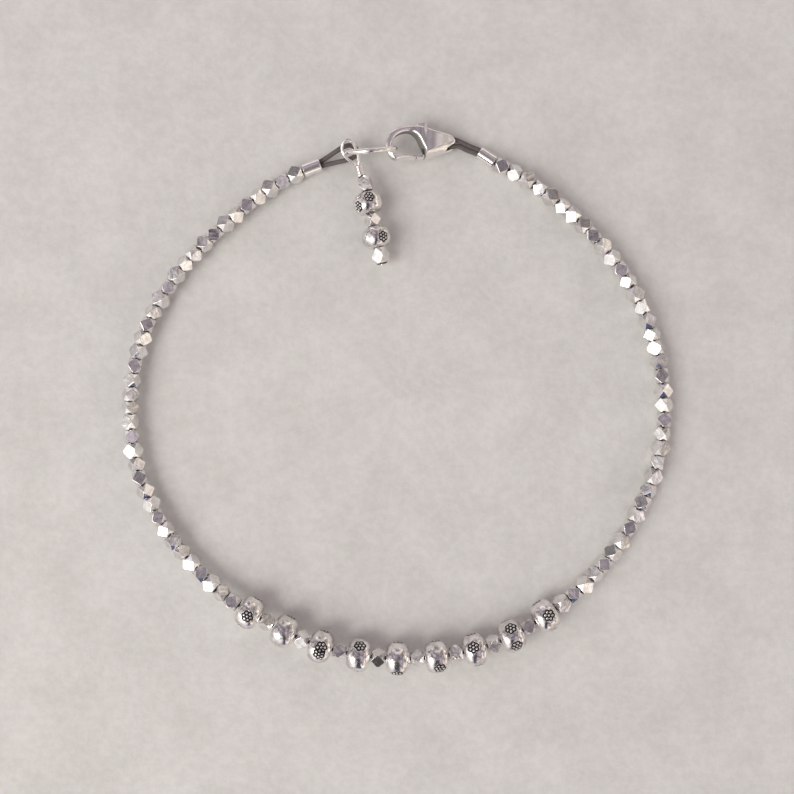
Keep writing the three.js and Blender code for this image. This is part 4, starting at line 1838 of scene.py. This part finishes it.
    def _body(self) -> Form:
        """Casts the body, domed between its outline and the hook's hole.

        Returns:
            The body before its cuts.
        """
        outer, inner = self._rims()
        form = bmesh.new()
        bmesh.ops.create_grid(form, x_segments=self.rim_points, y_segments=self.rings, size=0.5)
        for vert in form.verts:
            around = round((vert.co.x + 0.5) * self.rim_points) % self.rim_points
            across = 0.5 - 0.5 * math.cos(math.pi * (vert.co.y + 0.5))
            vert.co = outer[around].lerp(inner[around], across)
        grown = bmesh.ops.duplicate(form, geom=form.verts[:] + form.edges[:] + form.faces[:])["geom"]
        lower = set(verts_in(grown))
        for vert in form.verts:
            vert.co.z = self._dome(vert.co, outer, inner) * (-1 if vert in lower else 1)
        bmesh.ops.remove_doubles(form, verts=form.verts[:], dist=WELD)
        bmesh.ops.bridge_loops(form, edges=[edge for edge in form.edges if edge.is_boundary])
        return face_out(form)

    def _dome(self, point: Vector, outer: Sequence[Vector], inner: Sequence[Vector]) -> float:
        """The body's height at a point of its plan.

        Args:
            point: The point, in plan.
            outer: The outline's points.
            inner: The hole's points.

        Returns:
            The height above the middle plane.
        """
        place = Vector((point.x, point.y, 0))
        out_gap, in_gap = self._rim_gap(place, outer), self._rim_gap(place, inner)
        width = out_gap + in_gap
        outer_share, inner_share = self.round_shares
        outside = self._quarter(out_gap / min(self.round_outside, outer_share * width + WELD))
        inside = self._quarter(in_gap / min(self.round_inside, inner_share * width + WELD))
        inside = self.wall + (1 - self.wall) * inside
        start, end = flat(*self.ridge)
        way = (end - start).normalized()
        south = (place - start).cross(way).z
        risen = ease(*self.ridge_from, point.x)
        top = outside * inside * (1 - self.lean * risen * max(0.0, -south))
        share = out_gap / max(out_gap + south, WELD)
        flank = (1 - self.flank) * self._quarter(share) + self.flank * share
        return self._half_at(point.x) * (top + risen * (min(top, flank * inside) - top))

    @staticmethod
    def _rim_gap(place: Vector, rim: Sequence[Vector]) -> float:
        """Measures how far a point of the plan is from a rim.

        Args:
            place: The point.
            rim: The rim's points.

        Returns:
            The distance.
        """
        nearest = min(range(len(rim)), key=lambda i: (rim[i] - place).length_squared)
        way = (rim[(nearest + 1) % len(rim)] - rim[nearest - 1]).normalized()
        return abs((place - rim[nearest]).cross(way).z)

    @staticmethod
    def _quarter(share: float) -> float:
        """The height of a quarter circle at a share of its width."""
        left = 1 - min(max(share, 0.0), 1.0)
        return math.sqrt(1 - left * left)

    def _paint_inner_shade(self, form: Form) -> None:
        """Paints shade, with the mask named recess, on the hole's wall and on what lies inside the body.

        Args:
            form: The body.
        """
        outer, inner = self._rims()
        recess = form.verts.layers.float.new("recess")
        for vert in form.verts:
            place = Vector((vert.co.x, vert.co.y, 0))
            on_wall = self._rim_gap(place, inner) < self.on_wall
            deep = abs(vert.co.z) < self._dome(place, outer, inner) - self.skin
            vert[recess] = self.inner_shade if on_wall or deep else 0.0

    def _strip(self, points: Outline, half: float) -> tuple[list[Vector], list[Vector]]:
        """The two edges of a bent strip.

        Args:
            points: Its middle line.
            half: Half of its width.

        Returns:
            The points of its left edge and of its right edge.
        """
        line = flat(*points)
        left, right = [], []
        for i, point in enumerate(line):
            way = (line[min(i + 1, len(line) - 1)] - line[max(i - 1, 0)]).normalized()
            side = UP.cross(way) * half
            left.append(point + side)
            right.append(point - side)
        return left, right

    def _swung(self, point: Vector) -> Vector:
        """A point turned with the lever to its limit."""
        centre = Vector((*self.pivot, 0))
        return centre + Matrix.Rotation(-math.radians(self.swing), 3, "Z") @ (point - centre)

    def _cuts(self) -> list[Form]:
        """Shapes what is cut out of the body.

        Returns:
            The lever's pocket, the gap that the gate closes and the slot in the tail.
        """
        deep = self.lever_half_thickness + self.clearance
        wide = self.arm_half_width + self.clearance
        arm = self._swept(self.arm, wide, deep)
        root_deep = self.lever_half_thickness + 3 * APART
        root = self._swept(self.gate, self.root_half_width + 2 * APART, root_deep)
        x0, x1, y1, y0 = self.gap
        gap = slab(flat((x0, y0), (x1, y0), (x1, y1), (x0, y1)), self.reach_through)
        cuts = [arm, root, self._pin(self.boss + self.clearance, deep + 2 * APART), gap]
        for outline, bottom in ((self.slot, self.slot_floor), (self.slot_mouth, self.slot_lip)):
            slot = slab(flat(*outline), self.reach_through)
            bmesh.ops.translate(slot, vec=(0, 0, self.reach_through + bottom), verts=slot.verts[:])
            cuts.append(slot)
        return cuts

    def _swept(self, points: Outline, wide: float, deep: float) -> Form:
        """The room that a strip of the lever needs through its whole swing.

        Args:
            points: The strip's middle line.
            wide: Half of the room's width.
            deep: Half of its thickness.

        Returns:
            The hull of the strip at rest and at the lever's limit.
        """
        left, right = self._strip(points, wide)
        edge = [*left, *right, *(self._swung(point) for point in (*left, *right))]
        form = bmesh.new()
        for point in edge:
            form.verts.new(point + UP * deep)
            form.verts.new(point - UP * deep)
        hull = bmesh.ops.convex_hull(form, input=form.verts[:])
        bmesh.ops.delete(form, geom=hull["geom_interior"], context="VERTS")
        return welded(form)

    def _channel(self, cord: SmoothPath, radius: float) -> list[Form]:
        """The cord's way round the post in the tail.

        Args:
            cord: The cord's middle line.
            radius: The room's radius.

        Returns:
            Two tubes that meet behind the post.
        """
        into_clasp = self.placement().inverted()
        half, reach, over = cord.length / 2, self.channel_reach, self.channel_overlap
        tubes = []
        for start, end in ((half - reach, half + over), (half - over, half + reach)):
            frames = cord.level_frames(steps_between(start, end, step=0.15))
            tubes.append(moved(sweep(frames, radius, sides=16), into_clasp))
        return tubes

    def _pin(self, radius: float, half: float) -> Form:
        """Turns a cylinder through the pivot.

        Args:
            radius: Its radius.
            half: Half of its length.

        Returns:
            The cylinder.
        """
        form = bmesh.new()
        bmesh.ops.create_cone(
            form, cap_ends=True, segments=32, radius1=radius, radius2=radius, depth=2 * half,
            matrix=Matrix.Translation((*self.pivot, 0)),
        )
        return form

    def _lever(self) -> Form:
        """Shapes the lever.

        Returns:
            Gate, arm with thumb nub, and the boss on the pin, as one.
        """
        def plate(points: Outline, half_width: float, half: float, soft: float) -> Form:
            """One strip of the lever, by its middle line, half its width and thickness, and rounding."""
            left, right = self._strip(points, half_width)
            return slab([*right, *reversed(left)], half, soft)

        arm_soft, root_soft, gate_soft = self.soft
        arm = plate(self.arm, self.arm_half_width, self.lever_half_thickness, arm_soft)
        root = plate(self.gate, self.root_half_width, self.lever_half_thickness, root_soft)
        gate = plate(self.gate[:2], self.gate_half_width, self.gate_half_thickness, gate_soft)
        boss = self._pin(self.boss, self.lever_half_thickness)
        bore = self._pin(self.pin + self.pin_clearance, self.reach_through / 2)
        x, y, along_edge, outward = self.nub
        turns = [math.tau * i / self.nub_sides for i in range(self.nub_sides)]
        rim = [(x + along_edge * math.cos(turn), y + outward * math.sin(turn)) for turn in turns]
        nub = slab(flat(*rim), self.lever_half_thickness - APART, self.nub_rounding)
        joints = [(root, "UNION"), (gate, "UNION"), (boss, "UNION"), (nub, "UNION")]
        return carved(arm, [*joints, (bore, "DIFFERENCE")])


# ---------------- the dangle


@dataclass(frozen=True)
class DangleNugget:
    """One nugget of the dangle.

    Attributes:
        number: Its number from the neck.
        at: Its place along the pin.
        length: Its length.
        width: Its width against the mean.
        roll: Degrees turned about the pin.
        aside: How far it hangs aside.
    """

    number: int
    at: float
    length: float
    width: float
    roll: float
    aside: float = 0.0


@dataclass
class Dangle:
    """The head pin with its wrapped loop, and the five beads on it.

    Attributes:
        bench: Where the pieces are made.
        cutter: What cuts the nuggets.
        bead: The stamped bead.
        start: Where the wrapped neck begins.
        bearing: The way it lies, in degrees from +X.
        length: From there to the pin's head.
        wire: The wire's radius.
        lift: The height of the wire above the surface, before the beads' share.
        bead_share: The size of its stamped beads against the front's.
        head: The head's radius and thickness.
        head_rounding: How far the head's rims are rounded.
        wraps: How many times the wire is wrapped round the neck.
        wrap_start: Where the first wrap is.
        wrap_pitch: From one wrap to the next.
        wrap_sides: Steps in each wrap.
        nuggets: The nuggets, from the neck.
        stamped: The stamped beads: number, place and flowers.
        eyelet: The loop's points from the start of the neck.
        shank: Places along the straight wire, from near the head to the neck.
        first_seed: Where the seeds of its stamped beads start.
    """

    bench: Bench
    cutter: NuggetCutter
    bead: StampedBead
    start: Pair = (-5.06, 30.5)
    bearing: float = -76.4
    length: float = 13.32
    wire: float = 0.19
    lift: float = 2.05
    bead_share: float = 0.9
    head: Pair = (0.45, 0.2)
    wraps: float = 4.6
    wrap_start: float = 0.2
    wrap_pitch: float = 0.37
    wrap_sides: int = 12
    head_rounding: float = 0.05
    nuggets: tuple[DangleNugget, ...] = (
        DangleNugget(1, 2.82, 1.7, 0.84, 20, 0.3), DangleNugget(2, 7.5, 1.55, 0.9, 52),
        DangleNugget(3, 12.16, 1.95, 1.0, 35),
    )
    stamped: tuple[tuple[int, float, tuple[Stamp, ...]], ...] = (
        (1, 5.25, (Stamp(11, -0.5), Stamp(-50, 0.4), Stamp(105), Stamp(175), Stamp(240))),
        (2, 9.75, (Stamp(30, 0.35), Stamp(110), Stamp(185), Stamp(262))),
    )
    eyelet: tuple[tuple[float, float, float], ...] = (
        (0.05, -0.15, 0), (0.01, 0.57, 0.4), (-0.14, 1.23, 0.82), (-0.38, 1.77, 1.14),
        (-0.75, 2.3, 1.45), (-1.26, 2.58, 1.62), (-1.83, 2.2, 1.45), (-2.02, 1.6, 1.2),
        (-1.9, 1.0, 0.95), (-1.42, 0.44, 0.7), (-0.75, 0.03, 0.4),
    )
    shank: tuple[float, ...] = (10, 7, 4, 2, 1, 0.5)
    first_seed: int = 20

    def on(self, distance: float) -> Matrix:
        """The placement of a bead on the pin.

        Args:
            distance: How far along the pin.

        Returns:
            The placement.
        """
        angle = math.radians(self.bearing)
        way = Vector((math.cos(angle), math.sin(angle), 0))
        height = self.bead_share * self.lift
        return along(Vector((*self.start, height)) + way * distance, way)

    def build(self) -> None:
        """Builds the wire and the beads."""
        self.bench.add("dangle_pin", self._wire(), Slot.FINDING, ["dangle_wire"], smooth_below=50)
        for row in self.nuggets:
            place = self.on(row.at) @ Matrix.Translation((0, row.aside, 0))
            form = self.cutter.cut(row.length, row.width, row.roll, place, -row.aside)
            self.bench.add_silver(f"dangle_nugget_{row.number}", form, Slot.NUGGET, smooth_below=12)
        for number, at, stamps in self.stamped:
            place = self.on(at) @ Matrix.Scale(self.bead_share, 4)
            form = moved(self.bead.build(stamps, seed=self.first_seed + number), place)
            self.bench.add_silver(f"dangle_stamped_{number}", form, Slot.STAMPED, smooth_below=75)

    def _wire(self) -> Form:
        """Bends the pin's whole wire.

        Returns:
            Head, shank, loop and wraps, as one.
        """
        base = self.on(0)
        shank = [base @ Vector((x, 0, 0)) for x in (self.length, *self.shank)]
        loop = [base.translation + Vector(point) for point in self.eyelet]
        coil = []
        for i in range(int(self.wraps * self.wrap_sides) + 1):
            turn = i / self.wrap_sides
            y, z = (-2 * self.wire * part(math.tau * turn) for part in (math.cos, math.sin))
            coil.append(base @ Vector((self.wrap_start + self.wrap_pitch * turn, y, z)))
        path = SmoothPath([*shank, *loop, *coil], fineness=12)
        form = sweep(path.frames(steps_between(0, path.length, step=0.07)), self.wire, sides=14)
        radius, thick = self.head
        half, soft = thick / 2, self.head_rounding
        disc = lathe([
            (-half, 0), (-half, radius - soft), (soft - half, radius),
            (half - soft, radius), (half, radius - soft), (half, 0),
        ], steps=32)
        return joined([form, moved(disc, self.on(self.length))])


# ---------------- the studio


@dataclass(frozen=True)
class SoftLight:
    """One soft light.

    Attributes:
        name: Its name.
        at: Where it stands, in metres.
        size: Its width and height, in metres.
        power: Its power, in watts.
        colour: Its colour.
    """

    name: str
    at: tuple[float, float, float]
    size: Pair
    power: float
    colour: tuple[float, float, float]

    def build(self) -> None:
        """Builds the light, pointed at the bracelet's middle."""
        data = bpy.data.lights.new(self.name, "AREA")
        data.shape = "RECTANGLE"
        data.size, data.size_y = self.size
        data.energy = self.power
        data.color = self.colour
        lamp = linked(self.name, data)
        lamp.location = self.at
        lamp.rotation_euler = (-Vector(self.at)).to_track_quat("-Z", "Y").to_euler()
        lamp.visible_camera = False


@dataclass
class Studio:
    """The pale floor, the soft lights, the flags round them and the camera.

    Attributes:
        layout: The bracelet's layout, whose centre the camera looks down on.
        eye: The camera's place in plan, from the loop's centre.
        eye_height: The camera's height above the floor, in metres.
        half_view: Half of the view's width against the distance.
        floor_half: Half of the floor's width, in metres.
        ceiling: The room's light from straight above.
        horizon: The room's light from lower down all round.
        window: The light of the bright side of the room.
        wall: The light of the warm wall opposite.
        flag: The dark flag in front of the bracelet.
        foot: The flag's blue foot.
        backdrop: The plain pale wall that the camera sees behind the floor.
        paper_dark: The paper's darker tone.
        paper_light: Its lighter tone.
        specks: The share of its mottling that is fine.
        paper_roughness: Its roughness.
        paper_depth: How deep its grain is, in metres.
        variety: The least and the most that the room's things darken or brighten its light.
        things: The noise between which those things go from least to most.
        calm: How much of that variety the window keeps.
        horizon_up: Where the ceiling turns into the horizon, as the height of the way to look.
        wall_up: Where the wall begins and is whole, in height.
        wall_side: The same to the side.
        window_side: Where the window begins and is whole, to the side.
        window_ahead: The same ahead.
        flag_ahead: Where the flag begins and is whole, ahead.
        flag_side: The same to each side.
        foot_up: Where the flag turns into its foot, in height.
        strength: The strength of the room's light.
        lights: The lamps.
    """

    layout: Layout
    eye: Pair = (-0.13, 0.64)
    eye_height: float = 0.111
    half_view: float = 0.465
    floor_half: float = 0.7
    ceiling: Colour = (0.39, 0.34, 0.385, 1)
    horizon: Colour = (0.61, 0.565, 0.585, 1)
    window: Colour = (1.04, 1.01, 0.98, 1)
    wall: Colour = (0.85, 0.76, 0.68, 1)
    flag: Colour = (0.07, 0.064, 0.064, 1)
    foot: Colour = (0.075, 0.095, 0.21, 1)
    backdrop: Colour = (0.62, 0.58, 0.555, 1)
    paper_dark: Colour = (0.685, 0.675, 0.648, 1)
    paper_light: Colour = (0.815, 0.808, 0.78, 1)
    specks: float = 0.35
    paper_roughness: float = 0.85
    paper_depth: float = 0.00006
    variety: Pair = (0.28, 1.5)
    things: Pair = (0.36, 0.64)
    calm: float = 0.4
    horizon_up: Pair = (0.96, 0.6)
    wall_up: Pair = (0.85, 0.3)
    wall_side: Pair = (-0.05, 0.4)
    window_side: Pair = (-0.12, -0.35)
    window_ahead: Pair = (0.3, -0.1)
    flag_ahead: Pair = (-0.08, -0.2)
    flag_side: Pair = (0.19, 0.12)
    foot_up: Pair = (0.5, 0.3)
    strength: float = 1.08
    lights: tuple[SoftLight, ...] = (
        SoftLight("window", (-0.36, -0.2, 0.38), (0.34, 0.34), 1.25, (1.0, 0.97, 0.93)),
    )

    def build(self) -> None:
        """Builds the studio."""
        self._camera()
        self._floor()
        self._room()
        for light in self.lights:
            light.build()
        bpy.context.scene.view_settings.view_transform = "Standard"

    def _camera(self) -> None:
        """Looks straight down on the loop."""
        data = bpy.data.cameras.new("camera")
        data.lens = data.sensor_width / 2 / self.half_view
        data.clip_start = 0.005
        camera = linked("camera", data)
        place = self.layout.to_frame() @ Vector((*self.eye, 0))
        camera.location = (place.x, place.y, self.eye_height)
        bpy.context.scene.camera = camera

    def _floor(self) -> None:
        """Lays the pale paper that the bracelet lies on."""
        material, wiring, shader, place = new_material("pale paper")
        clouds = wiring.noise(place, scale=110.0, detail=8.0, rough=0.68)
        clouds = wiring.step(clouds, low=0.3, high=0.7)
        specks = wiring.noise(place, scale=800.0, detail=5.0, rough=0.7)
        specks = wiring.step(specks, low=0.38, high=0.62)
        share = self.specks
        mottle = wiring.sum(wiring.times(clouds, 1 - share), wiring.times(specks, share))
        colour = wiring.mix(mottle, self.paper_dark, self.paper_light)
        grain = wiring.noise(place, scale=1500.0, detail=4.0)
        dress(wiring, shader, colour, self.paper_roughness, grain, self.paper_depth)
        form = bmesh.new()
        bmesh.ops.create_grid(form, x_segments=2, y_segments=2, size=self.floor_half)
        mesh = mesh_of("floor", form)
        mesh.materials.append(material)
        floor = linked("floor", mesh)

    def _room(self) -> None:
        """Lights the room: bright on one side, warm on the other, with a narrow dark flag in front."""
        world = bpy.data.worlds.new("room")
        world.use_nodes = True
        bpy.context.scene.world = world
        wiring = Wiring(world.node_tree)
        way = wiring.add("ShaderNodeTexCoord").outputs["Generated"]
        split = wiring.add("ShaderNodeSeparateXYZ", inputs={0: way}).outputs
        x, y, z = split["X"], split["Y"], split["Z"]
        aside = wiring.add("ShaderNodeMath", operation="ABSOLUTE", inputs={0: x}).outputs[0]
        colour = wiring.mix(wiring.step(z, *self.horizon_up), self.ceiling, self.horizon)
        beside = wiring.times(wiring.step(x, *self.wall_side), wiring.step(z, *self.wall_up))
        colour = wiring.mix(beside, colour, self.wall)
        bright = wiring.times(wiring.step(x, *self.window_side), wiring.step(y, *self.window_ahead))
        colour = wiring.mix(bright, colour, self.window)
        things = wiring.noise(way, scale=2.7, detail=2.0)
        varied = wiring.spread(things, *self.things, *self.variety)
        varied = wiring.add("ShaderNodeCombineXYZ", inputs={0: varied, 1: varied, 2: varied}).outputs[0]
        colour = wiring.add(
            "ShaderNodeMix", data_type="RGBA", blend_type="MULTIPLY",
            inputs={0: wiring.blend(bright, 1.0, self.calm), 6: colour, 7: varied},
        ).outputs[2]
        front = wiring.times(wiring.step(y, *self.flag_ahead), wiring.step(aside, *self.flag_side))
        shade = wiring.mix(wiring.step(z, *self.foot_up), self.flag, self.foot)
        colour = wiring.mix(front, colour, shade)
        seen = wiring.add("ShaderNodeLightPath").outputs["Is Camera Ray"]
        colour = wiring.mix(seen, colour, self.backdrop)
        wiring.feed(world.node_tree.nodes["Background"], {"Color": colour, "Strength": self.strength})


# ---------------- the whole bracelet


def main() -> None:
    """Builds the studio and every piece of the bracelet, and notes the sizes."""
    logging.basicConfig(level=logging.INFO, format="%(name)s: %(message)s")
    layout = Layout()
    Studio(layout).build()
    bench = Bench(layout, Finishes())
    cutter = NuggetCutter()
    bead = StampedBead()
    ring = JumpRing(bench)
    clasp = LobsterClasp(bench)
    NuggetStrings(bench, cutter).build()
    FrontBeads(bench, cutter, bead).build()
    ring.build()
    ends = CordEnds(bench, Crimp(layout.crimp_length), clasp.at, ring)
    clasp.build(ends.build(), ends.radius)
    Dangle(bench, cutter, bead).build()


if __name__ == "__main__":
    main()
